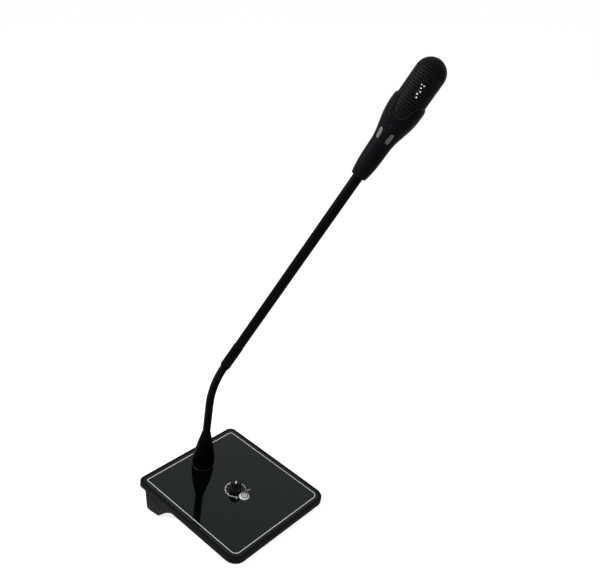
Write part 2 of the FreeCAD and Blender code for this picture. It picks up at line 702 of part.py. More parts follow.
def potentiometer():
    """The volume control's body, with the bearing that its shaft turns in."""
    half = POT_WIDTH / 2
    body = box(
        -half, half, -KNOB_FORWARD - POT_DEPTH / 2, -KNOB_FORWARD + POT_DEPTH / 2, BOARD_TOP, DECK_BOTTOM
    )
    bearing = cylinder(
        SHAFT_RADIUS + RUNNING_CLEARANCE,
        DECK_BOTTOM - POT_BEARING_DEPTH,
        DECK_BOTTOM + OVERCUT,
        0,
        -KNOB_FORWARD,
    )
    return on_panel(body.cut(bearing))


def on_shaft(shape):
    """Carry a shape drawn about the shaft's axis, with its pointer to the back, to its place at rest."""
    turned = shape.copy()
    turned.Placement = Placement(Vector(0, -KNOB_FORWARD, 0), Rotation(UP, KNOB_REST_TURN))
    return on_panel(turned)


def shaft_flat(low, high):
    """What a D-shaped shaft lacks, between two heights."""
    reach = 2 * SHAFT_RADIUS
    start = SHAFT_RADIUS - SHAFT_FLAT_DEPTH
    return box(-reach, reach, start, start + reach, low, high)


def knob_shaft():
    """The potentiometer's shaft, flattened where the knob grips it."""
    low = DECK_BOTTOM - POT_BEARING_DEPTH + RUNNING_CLEARANCE
    grip = KNOB_GAP + KNOB_SKIRT_HEIGHT
    rod = cylinder(SHAFT_RADIUS, low, SHAFT_TOP)
    return on_shaft(rod.cut(shaft_flat(grip, SHAFT_TOP + OVERCUT)))


def volume_knob():
    """The fluted knob with a smooth skirt, a bevelled top and a pointer slot."""
    radius = KNOB_DIAMETER / 2
    grip = radius - KNOB_GRIP_INSET
    low = KNOB_GAP
    skirt = KNOB_GAP + KNOB_SKIRT_HEIGHT
    top = KNOB_GAP + KNOB_HEIGHT
    knob = lathe(
        (0, low),
        (radius, low),
        (radius, skirt),
        (grip, skirt + KNOB_GRIP_INSET),
        (grip, top - KNOB_TOP_BEVEL),
        (grip - KNOB_TOP_BEVEL, top),
        (0, top),
    )
    flutes = []
    for k in range(KNOB_FLUTE_COUNT):
        turn = 2 * math.pi * (k + 0.5) / KNOB_FLUTE_COUNT
        centre = grip + KNOB_FLUTE_RADIUS / 2
        flutes.append(
            cylinder(
                KNOB_FLUTE_RADIUS,
                skirt + 2 * KNOB_GRIP_INSET,
                top + OVERCUT,
                centre * math.cos(turn),
                centre * math.sin(turn),
            )
        )
    pointer = box(
        -KNOB_POINTER_WIDTH / 2, KNOB_POINTER_WIDTH / 2, 0, radius, top - KNOB_POINTER_DEPTH, top + OVERCUT
    )
    socket = cylinder(SHAFT_RADIUS, 0, SHAFT_TOP).cut(shaft_flat(skirt, SHAFT_TOP + OVERCUT))
    return on_shaft(knob.cut(flutes + [pointer, socket]))


def button_bezel():
    """The ring round the power button: a flange on the panel and a barrel through the deck."""
    barrel = tube(BEZEL_BORE + BEZEL_WALL, BEZEL_BORE, DECK_BOTTOM, 0, 0, -BUTTON_FORWARD)
    flange = Part.makeCone(
        BEZEL_DIAMETER / 2,
        BEZEL_DIAMETER / 2 - BEZEL_HEIGHT / 2,
        BEZEL_HEIGHT,
        Vector(0, -BUTTON_FORWARD, 0),
    ).cut(cylinder(BEZEL_BORE, -OVERCUT, BEZEL_HEIGHT + OVERCUT, 0, -BUTTON_FORWARD))
    return on_panel(barrel.fuse(flange).removeSplitter())


def power_button():
    """The round cap, kept in by a flange under the deck."""
    radius = BUTTON_DIAMETER / 2
    flange_top = DECK_BOTTOM - RUNNING_CLEARANCE
    flange = radius + BUTTON_FLANGE_WIDTH
    cap = lathe(
        (0, flange_top - BUTTON_FLANGE_HEIGHT),
        (flange, flange_top - BUTTON_FLANGE_HEIGHT),
        (flange, flange_top),
        (radius, flange_top),
        (radius, BUTTON_TOP - BUTTON_TOP_BEVEL),
        (radius - BUTTON_TOP_BEVEL, BUTTON_TOP),
        (0, BUTTON_TOP),
    )
    cap.translate(Vector(0, -BUTTON_FORWARD, 0))
    return on_panel(cap)


def switch_plunger():
    """The switch's moving stem, under the cap."""
    top = DECK_BOTTOM - RUNNING_CLEARANCE - BUTTON_FLANGE_HEIGHT
    return on_panel(cylinder(PLUNGER_RADIUS, SWITCH_TOP - PLUNGER_ENGAGEMENT, top, 0, -BUTTON_FORWARD))


def switch_body():
    """The switch's square body, with the well that its stem slides in."""
    half = SWITCH_SIZE / 2
    body = box(-half, half, -BUTTON_FORWARD - half, -BUTTON_FORWARD + half, BOARD_TOP, SWITCH_TOP)
    well = cylinder(
        PLUNGER_RADIUS + RUNNING_CLEARANCE,
        SWITCH_TOP - PLUNGER_ENGAGEMENT - BUTTON_TRAVEL - RUNNING_CLEARANCE,
        SWITCH_TOP + OVERCUT,
        0,
        -BUTTON_FORWARD,
    )
    return on_panel(body.cut(well))


# ---- Base: the rear output socket ----
def on_rear_wall(shape):
    """Carry a shape drawn along z, with z = 0 on the rear wall's outside, to its place."""
    return placed(
        shape, Placement(Vector(JACK_X, HUMP_REAR_Y, JACK_HEIGHT), Rotation(Vector(1, 0, 0), -90))
    )


def jack_hole():
    """The hole in the rear wall."""
    return on_rear_wall(
        cylinder(JACK_THREAD_RADIUS + JACK_HOLE_CLEARANCE, -HUMP_WALL - OVERCUT, OVERCUT)
    )


def jack_body():
    """The socket's moulded body behind the wall, with a clear bore for the plug."""
    half_w = JACK_BODY_WIDTH / 2
    half_h = JACK_BODY_HEIGHT / 2
    low = -HUMP_WALL - JACK_BODY_LENGTH
    body = box(-half_w, half_w, -half_h, half_h, low, -HUMP_WALL)
    bore = cylinder(JACK_BORE_RADIUS, low + JACK_BODY_WALL, OVERCUT)
    return on_rear_wall(body.cut(bore))


def jack_bush():
    """The socket's threaded sleeve."""
    high = JACK_WASHER_THICKNESS + JACK_NUT_THICKNESS + JACK_BUSH_PROUD
    return on_rear_wall(tube(JACK_THREAD_RADIUS, JACK_BORE_RADIUS, -HUMP_WALL, high))


def jack_washer():
    """The washer between the rear wall and the nut."""
    return on_rear_wall(tube(JACK_WASHER_RADIUS, JACK_THREAD_RADIUS, 0, JACK_WASHER_THICKNESS))


def jack_nut():
    """The hexagonal nut that holds the socket."""
    low = JACK_WASHER_THICKNESS
    high = low + JACK_NUT_THICKNESS
    nut = hexagon(JACK_NUT_FLATS, low, high)
    return on_rear_wall(nut.cut(cylinder(JACK_THREAD_RADIUS, low - OVERCUT, high + OVERCUT)))


# ---- Neck foot ----
def neck_stud():
    """The threaded foot of the neck: a flange on the panel and a hollow stud through the deck."""
    flange = cylinder(STUD_FLANGE_RADIUS, 0, STUD_FLANGE_HEIGHT, 0, NECK_SETBACK)
    stud = cylinder(STUD_RADIUS, DECK_BOTTOM - STUD_BELOW_DECK, 0, 0, NECK_SETBACK)
    low = DECK_BOTTOM - STUD_BELOW_DECK - OVERCUT
    bore = cylinder(WIRE_BORE_RADIUS, low, STUD_FLANGE_HEIGHT + OVERCUT, 0, NECK_SETBACK)
    return on_panel(flange.fuse(stud).removeSplitter().cut(bore))


def neck_washer():
    """The washer under the deck."""
    low = DECK_BOTTOM - NECK_WASHER_THICKNESS
    return on_panel(tube(NECK_WASHER_RADIUS, STUD_RADIUS, low, DECK_BOTTOM, 0, NECK_SETBACK))


def neck_lock_nut():
    """The nut that clamps the neck to the deck."""
    high = DECK_BOTTOM - NECK_WASHER_THICKNESS
    low = high - NECK_NUT_THICKNESS
    nut = hexagon(NECK_NUT_FLATS, low, high, 0, NECK_SETBACK)
    return on_panel(nut.cut(cylinder(STUD_RADIUS, low - OVERCUT, high + OVERCUT, 0, NECK_SETBACK)))


def neck_boot():
    """The bell-shaped rubber boot round the foot of the neck."""
    bell = bent_points(
        BOOT_FOOT_FLARE,
        (BOOT_FOOT_RADIUS, 0),
        (BOOT_RADIUS, BOOT_BELLY_HEIGHT),
        (BOOT_SHOULDER_RADIUS, BOOT_SHOULDER_HEIGHT),
        (BOOT_WAIST_RADIUS, BOOT_WAIST_HEIGHT),
        (BOOT_BORE + BOOT_LIP, BOOT_HEIGHT),
    )
    boot = lathe(
        *bell,
        (BOOT_BORE, BOOT_HEIGHT),
        (BOOT_BORE, STUD_FLANGE_HEIGHT),
        (STUD_FLANGE_RADIUS, STUD_FLANGE_HEIGHT),
        (STUD_FLANGE_RADIUS, 0),
    )
    boot.translate(Vector(0, NECK_SETBACK, 0))
    return on_panel(boot)


# ---- Gooseneck ----
def coil_turns(low, high):
    """Profile points of a link's side: one ridge for each turn of the coil, between two heights."""
    step = (high - low) / COILS_PER_LINK
    points = [(NECK_RADIUS, low)]
    for k in range(COILS_PER_LINK):
        points.append((NECK_RADIUS, low + (k + 0.5) * step))
        points.append((NECK_RADIUS - COIL_GROOVE_DEPTH, low + (k + 1) * step))
    points[-1] = (NECK_RADIUS, high)
    return points


def ball_end(height):
    """The rounded upper end of a link, centred on the pivot at a height, down to its wire bore."""
    pole = math.degrees(math.acos(WIRE_BORE_RADIUS / NECK_RADIUS))
    return round_points(height, NECK_RADIUS, 0, pole, BALL_STEPS)


def gooseneck_root():
    """The fixed foot of the gooseneck inside the boot, ending in the first ball."""
    start = STUD_FLANGE_HEIGHT
    root = lathe((WIRE_BORE_RADIUS, start), (NECK_RADIUS, start), *ball_end(PIVOT_FIRST))
    root.translate(Vector(0, NECK_SETBACK, 0))
    return on_panel(root)


def cup_end():
    """The hollow lower end of a link, from its wire bore out to its bevelled rim.

    Its cones stay clear of the ball at every angle of the joint.
    """
    pole = math.degrees(math.acos(WIRE_BORE_RADIUS / CUP_RADIUS))
    rim = math.degrees(math.acos((NECK_RADIUS - CUP_RIM_WIDTH) / CUP_RADIUS))
    return round_points(0, CUP_RADIUS, pole, rim, CUP_STEPS)


def gooseneck_link():
    """One short link, from the pivot below it at the origin to the pivot above it."""
    turns = coil_turns(CUP_RIM_HEIGHT + CUP_RIM_BEVEL, PIVOT_PITCH)
    return lathe(*cup_end(), *turns, *ball_end(PIVOT_PITCH)[1:])


def gooseneck_links():
    """Every link in its place, from one pivot to the next."""
    link = gooseneck_link()
    return [placed(link, frame_along(a, b)) for a, b in zip(PIVOTS, PIVOTS[1:])]


def gooseneck_tip():
    """The end of the gooseneck, from the last pivot into the ferrule and in line with it."""
    end = (ARM_START - PIVOTS[-1]).Length + NECK_INSERT_LENGTH
    low = (NECK_RADIUS, CUP_RIM_HEIGHT + CUP_RIM_BEVEL)
    tip = lathe(*cup_end(), low, (NECK_RADIUS, end), (WIRE_BORE_RADIUS, end))
    return placed(tip, Placement(PIVOTS[-1], ARM_FRAME.Rotation))


# ---- Rigid arm ----
def lower_ferrule():
    """The sleeve that joins the gooseneck to the rigid tube."""
    sleeve = lathe(
        (NECK_RADIUS + BORE_FIT, 0),
        (NECK_RADIUS + BORE_FIT + FERRULE_LIP, 0),
        (FERRULE_RADIUS, FERRULE_TAPER),
        (FERRULE_RADIUS, FERRULE_LENGTH - FERRULE_TOP_BEVEL),
        (FERRULE_RADIUS - FERRULE_TOP_BEVEL, FERRULE_LENGTH),
        (TUBE_RADIUS, FERRULE_LENGTH),
        (TUBE_RADIUS, FERRULE_LENGTH - TUBE_OVERLAP),
        (NECK_RADIUS + BORE_FIT, FERRULE_LENGTH - TUBE_OVERLAP),
    )
    return placed(sleeve, ARM_FRAME)


def rigid_tube():
    """The straight metal tube from the ferrule into the head."""
    return placed(
        tube(TUBE_RADIUS, TUBE_RADIUS - TUBE_WALL, FERRULE_LENGTH - TUBE_OVERLAP, ARM_LENGTH + TUBE_IN_HEAD),
        ARM_FRAME,
    )


# ---- Head ----
def head_outline(depth=0.0):
    """The head's outside from its tail to the top of the collar, drawn in by a depth."""
    stations = [(HEAD_TAIL_RADIUS, HEAD_TAIL_BEVEL)]
    stations += HEAD_TAIL_STATIONS
    stations += [(HEAD_WAIST_RADIUS, HEAD_WAIST_HEIGHT)]
    stations += HEAD_SWELL_STATIONS
    stations += [(HEAD_COLLAR_RADIUS, HEAD_COLLAR_MIDDLE), (HEAD_COLLAR_TOP_RADIUS, HEAD_BLANK_TOP)]
    return bent_points(HEAD_TAIL_FLARE, *[(radius - depth, height) for radius, height in stations])


def notch_wire(distance, flare):
    """The outline of a collar notch on a plane square to x at a distance from the head's axis."""
    top = HEAD_COLLAR_TOP + flare
    bottom = NOTCH_BOTTOM - flare
    low = NOTCH_BOTTOM_WIDTH / 2 + flare
    high = NOTCH_TOP_WIDTH / 2 + flare
    reach = 2 * HEAD_COLLAR_RADIUS
    points = [
        (-reach, top),
        (-high, top),
        (-low, bottom),
        (low, bottom),
        (high, top),
        (reach, top),
        (reach, HEAD_LENGTH),
        (-reach, HEAD_LENGTH),
    ]
    shoulder = NOTCH_SHOULDER_RADIUS
    radii = [0, shoulder, NOTCH_ROOT_RADIUS, NOTCH_ROOT_RADIUS, shoulder, 0, 0, 0]
    return rounded_wire([Vector(distance, y, z) for y, z in points], radii)


def notch_cutter():
    """One flared notch, cut outwards from the axis towards +x."""
    near = OVERCUT
    far = HEAD_COLLAR_RADIUS + 2 * OVERCUT
    middle = NOTCH_NEUTRAL_RADIUS
    return Part.makeLoft(
        [
            notch_wire(near, NOTCH_FLARE * (near - middle)),
            notch_wire(far, NOTCH_FLARE * (far - middle)),
        ],
        True,
        True,
    )


def light_slot(margin, near, far):
    """One oval window as a prism along +x."""
    half_l = LIGHT_LENGTH / 2 - margin
    half_w = LIGHT_WIDTH / 2 - margin
    corners = [
        Vector(near, sy * half_w, LIGHT_CENTRE + sz * half_l)
        for sy, sz in ((-1, -1), (1, -1), (1, 1), (-1, 1))
    ]
    wire = rounded_wire(corners, [LIGHT_CORNER_SHARE * half_w] * 4)
    return Part.Face(wire).extrude(Vector(far - near, 0, 0))


def light_slots(margin, near, far):
    """All windows, evenly round the head, with a gap between two of them at +x."""
    slots = []
    for k in range(LIGHT_COUNT):
        slot = light_slot(margin, near, far)
        slot.rotate(Vector(0, 0, 0), UP, 360.0 * (k + 0.5) / LIGHT_COUNT)
        slots.append(slot)
    return slots


def head_shell():
    """The moulded head: tail, waist with light windows, and a collar with two petals."""
    stop = TUBE_IN_HEAD
    shell = lathe(
        *head_outline(),
        (GRILLE_BORE, HEAD_BLANK_TOP),
        (GRILLE_BORE, GRILLE_SEAT),
        (LIGHT_BORE, GRILLE_SEAT),
        (LIGHT_BORE, LED_LEDGE),
        (CAVITY_RADIUS, LED_LEDGE),
        (CAVITY_RADIUS, stop + TUBE_STOP_THICKNESS),
        (TUBE_RADIUS - TUBE_WALL, stop + TUBE_STOP_THICKNESS),
        (TUBE_RADIUS - TUBE_WALL, stop),
        (TUBE_RADIUS, stop),
        (TUBE_RADIUS, 0),
        (HEAD_TAIL_RADIUS - HEAD_TAIL_BEVEL, 0),
    )
    back = notch_cutter()
    back.rotate(Vector(0, 0, 0), UP, 180)
    windows = light_slots(0, CAVITY_RADIUS, 2 * HEAD_COLLAR_RADIUS)
    return placed(shell.cut([notch_cutter(), back] + windows + [set_screw_hole()]), HEAD_FRAME)


def set_screw_hole():
    """The threaded hole for the set screw, on the notch's centre line."""
    return Part.makeCylinder(
        SET_SCREW_RADIUS, 2 * HEAD_COLLAR_RADIUS, Vector(LIGHT_RING_RADIUS, 0, SET_SCREW_HEIGHT), Vector(1, 0, 0)
    )


def set_screw():
    """The small socket screw that locks the capsule carrier."""
    screw = set_screw_hole().common(head_blank(SET_SCREW_RECESS))
    end = screw.BoundBox.XMax
    socket = Part.makeCylinder(
        SET_SCREW_SOCKET, OVERCUT, Vector(end - OVERCUT, 0, SET_SCREW_HEIGHT), Vector(1, 0, 0)
    )
    return placed(screw.cut(socket), HEAD_FRAME)


def head_blank(depth):
    """The head's outer form as a full solid, drawn in by a depth."""
    return lathe(*head_outline(depth), (0, HEAD_BLANK_TOP), (0, HEAD_TAIL_BEVEL))


def light_ring():
    """The clear ring behind the windows, with an oval lens filling each of them."""
    low = LIGHT_RING_LOW
    ring = tube(LIGHT_RING_RADIUS, LIGHT_RING_RADIUS - LIGHT_RING_WALL, low, low + LIGHT_RING_LENGTH)
    inside = head_blank(LIGHT_RECESS)
    start = LIGHT_RING_RADIUS - LIGHT_RING_WALL / 2
    lenses = [slot.common(inside) for slot in light_slots(LIGHT_FIT, start, 2 * HEAD_COLLAR_RADIUS)]
    return placed(ring.fuse(lenses).removeSplitter(), HEAD_FRAME)


def led_board():
    """The ring-shaped board under the light ring."""
    return placed(
        tube(LIGHT_RING_RADIUS, WIRE_BORE_RADIUS, LED_LEDGE, LED_LEDGE + LED_BOARD_THICKNESS), HEAD_FRAME
    )


def leds():
    """One small lamp under each window."""
    solids = []
    low = LED_LEDGE + LED_BOARD_THICKNESS
    middle = LIGHT_RING_RADIUS - LIGHT_RING_WALL
    half = LED_SIZE / 2
    for k in range(LIGHT_COUNT):
        lamp = box(middle - half, middle + half, -half, half, low, low + LED_HEIGHT)
        lamp.rotate(Vector(0, 0, 0), UP, 360.0 * (k + 0.5) / LIGHT_COUNT)
        solids.append(lamp)
    return placed(Part.makeCompound(solids), HEAD_FRAME)


def capsule_carrier():
    """The rubber carrier: a stem in the shell, a flange inside the grille and a cup on top."""
    cup_floor = GRILLE_SEAT + CARRIER_CUP_HEIGHT - CAPSULE_HEIGHT
    flange_top = GRILLE_SEAT + CARRIER_FLANGE_HEIGHT
    cup_top = GRILLE_SEAT + CARRIER_CUP_HEIGHT
    flange = GRILLE_RADIUS - GRILLE_WALL - BORE_FIT
    carrier = lathe(
        (WIRE_BORE_RADIUS, CARRIER_LOW),
        (LIGHT_RING_RADIUS, CARRIER_LOW),
        (LIGHT_RING_RADIUS, GRILLE_SEAT),
        (flange, GRILLE_SEAT),
        (flange, flange_top),
        (CARRIER_CUP_RADIUS, flange_top),
        (CARRIER_CUP_RADIUS, cup_top),
        (CAPSULE_RADIUS, cup_top),
        (CAPSULE_RADIUS, cup_floor),
        (WIRE_BORE_RADIUS, cup_floor),
    )
    return placed(carrier, HEAD_FRAME)


def microphone_capsule():
    """The electret capsule in the carrier's cup."""
    top = GRILLE_SEAT + CARRIER_CUP_HEIGHT
    return placed(cylinder(CAPSULE_RADIUS, top - CAPSULE_HEIGHT, top), HEAD_FRAME)


def grille_hole():
    """The cutter of one radial hole, pointing along +x at the height of the axis."""
    hole = prism(
        GRILLE_HOLE_RADIUS, GRILLE_HOLE_SIDES, GRILLE_RADIUS - GRILLE_WALL - OVERCUT, GRILLE_RADIUS + OVERCUT
    )
    hole.rotate(Vector(0, 0, 0), Vector(0, 1, 0), 90)
    return hole


def grille_wall():
    """The grille's side: one narrow flat for each column of holes, with staggered rows."""
    flats = 2 * GRILLE_HOLES_AROUND
    ring = prism(GRILLE_RADIUS, flats, GRILLE_SEAT, DOME_CENTRE).cut(
        prism(GRILLE_RADIUS - GRILLE_WALL, flats, GRILLE_SEAT - OVERCUT, DOME_CENTRE + OVERCUT)
    )
    hole = grille_hole()
    first = GRILLE_SEAT + GRILLE_PLAIN_RIM
    rows = int((DOME_CENTRE - GRILLE_HOLE_RADIUS - first) / GRILLE_ROW_PITCH) + 1
    holes = []
    for row in range(rows):
        for k in range(GRILLE_HOLES_AROUND):
            spot = hole.copy()
            spot.translate(Vector(0, 0, first + row * GRILLE_ROW_PITCH))
            spot.rotate(Vector(0, 0, 0), UP, (2 * k + row % 2) * 360.0 / flats)
            holes.append(spot)
    return ring.cut(Part.makeCompound(holes))


def grille_dome():
    """The grille's round end, with rings of holes that thin out towards its crown."""
    inner = GRILLE_RADIUS - GRILLE_WALL
    dome = lathe(
        *round_points(DOME_CENTRE, GRILLE_RADIUS, 0, 90, DOME_STEPS),
        *round_points(DOME_CENTRE, inner, 90, 0, DOME_STEPS),
    )
    step = math.degrees(GRILLE_ROW_PITCH / GRILLE_RADIUS)
    hole = grille_hole()
    holes = []
    for ring in range(int(90 / step)):
        tilt = (ring + DOME_FIRST_RING) * step
        count = max(1, int(GRILLE_HOLES_AROUND * math.cos(math.radians(tilt)) * DOME_HOLE_SHARE))
        for k in range(count):
            spot = hole.copy()
            spot.rotate(Vector(0, 0, 0), Vector(0, 1, 0), -tilt)
            spot.translate(Vector(0, 0, DOME_CENTRE))
            spot.rotate(Vector(0, 0, 0), UP, (k + ring % 2 / 2) * 360.0 / count)
            holes.append(spot)
    return dome.cut(Part.makeCompound(holes))


def grille():
    """The hollow perforated cap with a round end."""
    return placed(grille_wall().fuse(grille_dome()), HEAD_FRAME)


def build():
    """Every node's name and shape."""
    nodes = {
        "top_panel": top_panel(),
        "top_housing": top_housing(),
        "bottom_cover": bottom_cover(),
        "controls_pan": controls_pan(),
        "rear_housing": rear_housing(),
        "housing_screws": housing_screws(),
        "rear_foot": rear_foot(),
        "front_foot": front_foot(),
        "ballast_plate": ballast_plate(),
        "main_circuit_board": main_circuit_board(),
        "board_screws": board_screws(),
        "potentiometer": potentiometer(),
        "knob_shaft": knob_shaft(),
        "volume_knob": volume_knob(),
        "button_bezel": button_bezel(),
        "power_button": power_button(),
        "switch_plunger": switch_plunger(),
        "switch_body": switch_body(),
        "jack_body": jack_body(),
        "jack_bush": jack_bush(),
        "jack_washer": jack_washer(),
        "jack_nut": jack_nut(),
        "neck_stud": neck_stud(),
        "neck_washer": neck_washer(),
        "neck_lock_nut": neck_lock_nut(),
        "neck_boot": neck_boot(),
        "gooseneck_root": gooseneck_root(),
        "gooseneck_tip": gooseneck_tip(),
        "lower_ferrule": lower_ferrule(),
        "rigid_tube": rigid_tube(),
        "head_shell": head_shell(),
        "set_screw": set_screw(),
        "light_ring": light_ring(),
        "led_board": led_board(),
        "leds": leds(),
        "capsule_carrier": capsule_carrier(),
        "microphone_capsule": microphone_capsule(),
        "grille": grille(),
    }
    for number, link in enumerate(gooseneck_links(), start=1):
        nodes[f"gooseneck_link_{number}"] = link
    return nodes


os.makedirs("parts", exist_ok=True)
for name, shape in build().items():
    shape.exportStep(f"parts/{name}.step")
    print(name, len(shape.Solids), round(shape.Volume, 2), shape.isValid())
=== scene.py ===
"""A gooseneck podium microphone: its looks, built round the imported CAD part."""

import json
import logging
import math
from dataclasses import dataclass, field
from enum import Enum
from itertools import accumulate
from typing import Callable, Iterable, Sequence

import bmesh
import bpy
import numpy as np
from bmesh.types import BMesh, BMVert
from bpy.types import Material, Mesh, Node, NodeSocket, NodeTree, Object
from mathutils import Matrix, Vector
from mathutils.geometry import tessellate_polygon


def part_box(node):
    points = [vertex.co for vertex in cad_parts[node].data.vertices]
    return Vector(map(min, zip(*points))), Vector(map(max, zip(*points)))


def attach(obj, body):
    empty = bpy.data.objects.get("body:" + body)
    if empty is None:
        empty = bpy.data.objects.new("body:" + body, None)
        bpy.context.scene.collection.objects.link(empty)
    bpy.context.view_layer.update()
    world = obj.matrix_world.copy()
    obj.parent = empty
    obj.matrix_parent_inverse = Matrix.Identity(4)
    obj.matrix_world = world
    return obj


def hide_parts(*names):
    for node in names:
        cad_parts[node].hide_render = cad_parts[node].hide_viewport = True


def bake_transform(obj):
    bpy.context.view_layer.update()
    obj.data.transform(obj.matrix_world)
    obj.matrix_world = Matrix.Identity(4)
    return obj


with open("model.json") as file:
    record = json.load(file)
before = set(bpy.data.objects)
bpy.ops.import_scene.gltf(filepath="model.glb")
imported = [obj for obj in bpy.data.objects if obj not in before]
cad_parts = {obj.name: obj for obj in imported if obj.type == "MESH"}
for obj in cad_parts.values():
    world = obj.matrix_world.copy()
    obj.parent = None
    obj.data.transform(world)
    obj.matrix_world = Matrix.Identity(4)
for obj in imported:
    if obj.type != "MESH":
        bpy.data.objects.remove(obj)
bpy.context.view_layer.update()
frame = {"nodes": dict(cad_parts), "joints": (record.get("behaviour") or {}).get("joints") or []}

log = logging.getLogger("microphone")

MM = 0.001
Point = tuple[float, float]
Spot = tuple[float, float, float]
Loop = list[tuple[float, ...]]
Feeds = dict[str | int, object]


# ---------------------------------------------------------------- nodes


def feed(tree: NodeTree, node: Node, feeds: Feeds) -> None:
    """Fill a node's inputs.

    Args:
        tree: The tree that holds the node.
        node: The node.
        feeds: What each input gets: another node's output or a plain value.
    """
    for name, value in feeds.items():
        if isinstance(value, NodeSocket):
            tree.links.new(value, node.inputs[name])
        else:
            node.inputs[name].default_value = value


def add_node(tree: NodeTree, kind: str, feeds: Feeds, settings: dict[str, object] | None = None) -> Node:
    """Add a node to a tree.

    Args:
        tree: The tree.
        kind: The node's type.
        feeds: What each of its inputs gets.
        settings: Its properties.

    Returns:
        The node.
    """
    node = tree.nodes.new(kind)
    for name, value in (settings or {}).items():
        setattr(node, name, value)
    feed(tree, node, feeds)
    return node


def noise(tree: NodeTree, place: NodeSocket, size: float, detail: float) -> NodeSocket:
    """Noise over a place, with features of a size in millimetres and a number of finer octaves."""
    feeds = {"Vector": place, "Scale": 1 / (size * MM), "Detail": detail}
    return add_node(tree, "ShaderNodeTexNoise", feeds).outputs["Fac"]


def only_directly(tree: NodeTree, output: Node, seen: Node, otherwise: Node) -> None:
    """End a tree in one shader for what the camera sees, also in a reflection or through glass.

    Args:
        tree: The tree.
        output: Its output node.
        seen: The shader that the camera sees.
        otherwise: The shader that other rays meet.
    """
    rays = add_node(tree, "ShaderNodeLightPath", {}).outputs
    direct = rays["Is Camera Ray"]
    for name in ("Is Glossy Ray", "Is Transmission Ray"):
        feeds = {0: direct, 1: rays[name]}
        direct = add_node(tree, "ShaderNodeMath", feeds, {"operation": "MAXIMUM"}).outputs[0]
    feeds = {0: direct, 1: otherwise.outputs[0], 2: seen.outputs[0]}
    feed(tree, output, {"Surface": add_node(tree, "ShaderNodeMixShader", feeds).outputs[0]})


# ---------------------------------------------------------------- finishes


class Grain(Enum):
    """The kinds of fine surface relief."""

    SMOOTH = "smooth"
    MOULD = "mould"
    PEEL = "orange_peel"
    BRUSHED = "brushed"


@dataclass(frozen=True)
class Finish:
    """A surface finish, built as one node material.

    Sizes are in millimetres. The shade and the roughness's spread say how far each varies.
    """

    name: str
    colour: Spot
    shade: float = 0.12
    roughness: float = 0.4
    roughness_spread: float = 0.05
    metallic: float = 0.0
    specular: float = 0.5
    tint: Spot = (1.0, 1.0, 1.0)
    grain: Grain = Grain.SMOOTH
    grain_size: float = 0.4
    grain_depth: float = 0.02
    brush_width: float = 8.0
    brush_stretch: Spot = (1.0, 1.0, 40.0)
    mottle_size: float = 12.0
    mottle_edges: Point = (0.3, 0.7)
    subsurface: float = 0.0
    subsurface_reach: float = 2.0

    def build(self) -> Material:
        """Build the material's nodes.

        Returns:
            The finished material.
        """
        material = bpy.data.materials.new(self.name)
        material.use_nodes = True
        tree = material.node_tree
        place = add_node(tree, "ShaderNodeTexCoord", {}).outputs["Object"]
        mottle = noise(tree, place, self.mottle_size, 3.0)
        feeds = {
            "Base Color": self._colour(tree, mottle),
            "Roughness": self._roughness(tree, place, mottle),
            "Metallic": self.metallic,
            "Specular IOR Level": self.specular,
            "Specular Tint": (*self.tint, 1),
        }
        if self.subsurface > 0:
            feeds["Subsurface Weight"] = self.subsurface
            feeds["Subsurface Radius"] = [self.subsurface_reach * MM] * 3
            feeds["Subsurface Scale"] = 1.0
        if self.grain is not Grain.SMOOTH:
            feeds["Normal"] = self._relief(tree, place)
        feed(tree, tree.nodes["Principled BSDF"], feeds)
        return material

    def _colour(self, tree: NodeTree, mottle: NodeSocket) -> NodeSocket:
        """Vary the colour a little between a darker and a lighter shade.

        Args:
            tree: The material's nodes.
            mottle: The noise that picks the shade.

        Returns:
            The colour.
        """
        ramp = add_node(tree, "ShaderNodeValToRGB", {"Fac": mottle})
        for stop, sign, edge in zip(ramp.color_ramp.elements, (-1, 1), self.mottle_edges):
            stop.color = (*(c * (1 + sign * self.shade) for c in self.colour), 1)
            stop.position = edge
        return ramp.outputs["Color"]

    def _roughness(self, tree: NodeTree, place: NodeSocket, mottle: NodeSocket) -> NodeSocket:
        """Vary the roughness, along fine lines for a brushed grain.

        Args:
            tree: The material's nodes.
            place: The texture coordinates.
            mottle: The noise that is used for any other grain.

        Returns:
            The roughness.
        """
        if self.grain is Grain.BRUSHED:
            lines = add_node(tree, "ShaderNodeMapping", {"Vector": place, "Scale": self.brush_stretch})
            mottle = noise(tree, lines.outputs[0], self.grain_size * self.brush_width, 2.0)
        low, high = self.roughness - self.roughness_spread, self.roughness + self.roughness_spread
        feeds = {"Value": mottle, "To Min": max(0.0, low), "To Max": high}
        return add_node(tree, "ShaderNodeMapRange", feeds).outputs["Result"]

    def _relief(self, tree: NodeTree, place: NodeSocket) -> NodeSocket:
        """Add the fine relief of the grain.

        Args:
            tree: The material's nodes.
            place: The texture coordinates.

        Returns:
            The surface's direction.
        """
        if self.grain is Grain.MOULD:
            feeds = {"Vector": place, "Scale": 1 / (self.grain_size * MM)}
            cells = add_node(tree, "ShaderNodeTexVoronoi", feeds, {"feature": "SMOOTH_F1"})
            height = cells.outputs["Distance"]
        else:
            height = noise(tree, place, self.grain_size, 2.0)
        feeds = {"Height": height, "Distance": self.grain_depth * MM, "Strength": 1.0}
        return add_node(tree, "ShaderNodeBump", feeds).outputs["Normal"]


def metal(name: str, colour: Spot, roughness: float, spread: float, depth: float = 0.004) -> Finish:
    """A brushed metal: its name, colour, roughness, the roughness's spread and the depth of its lines."""
    return Finish(name, colour, metallic=1.0, roughness=roughness, roughness_spread=spread,
                  grain=Grain.BRUSHED, grain_size=0.3, grain_depth=depth, mottle_size=3)


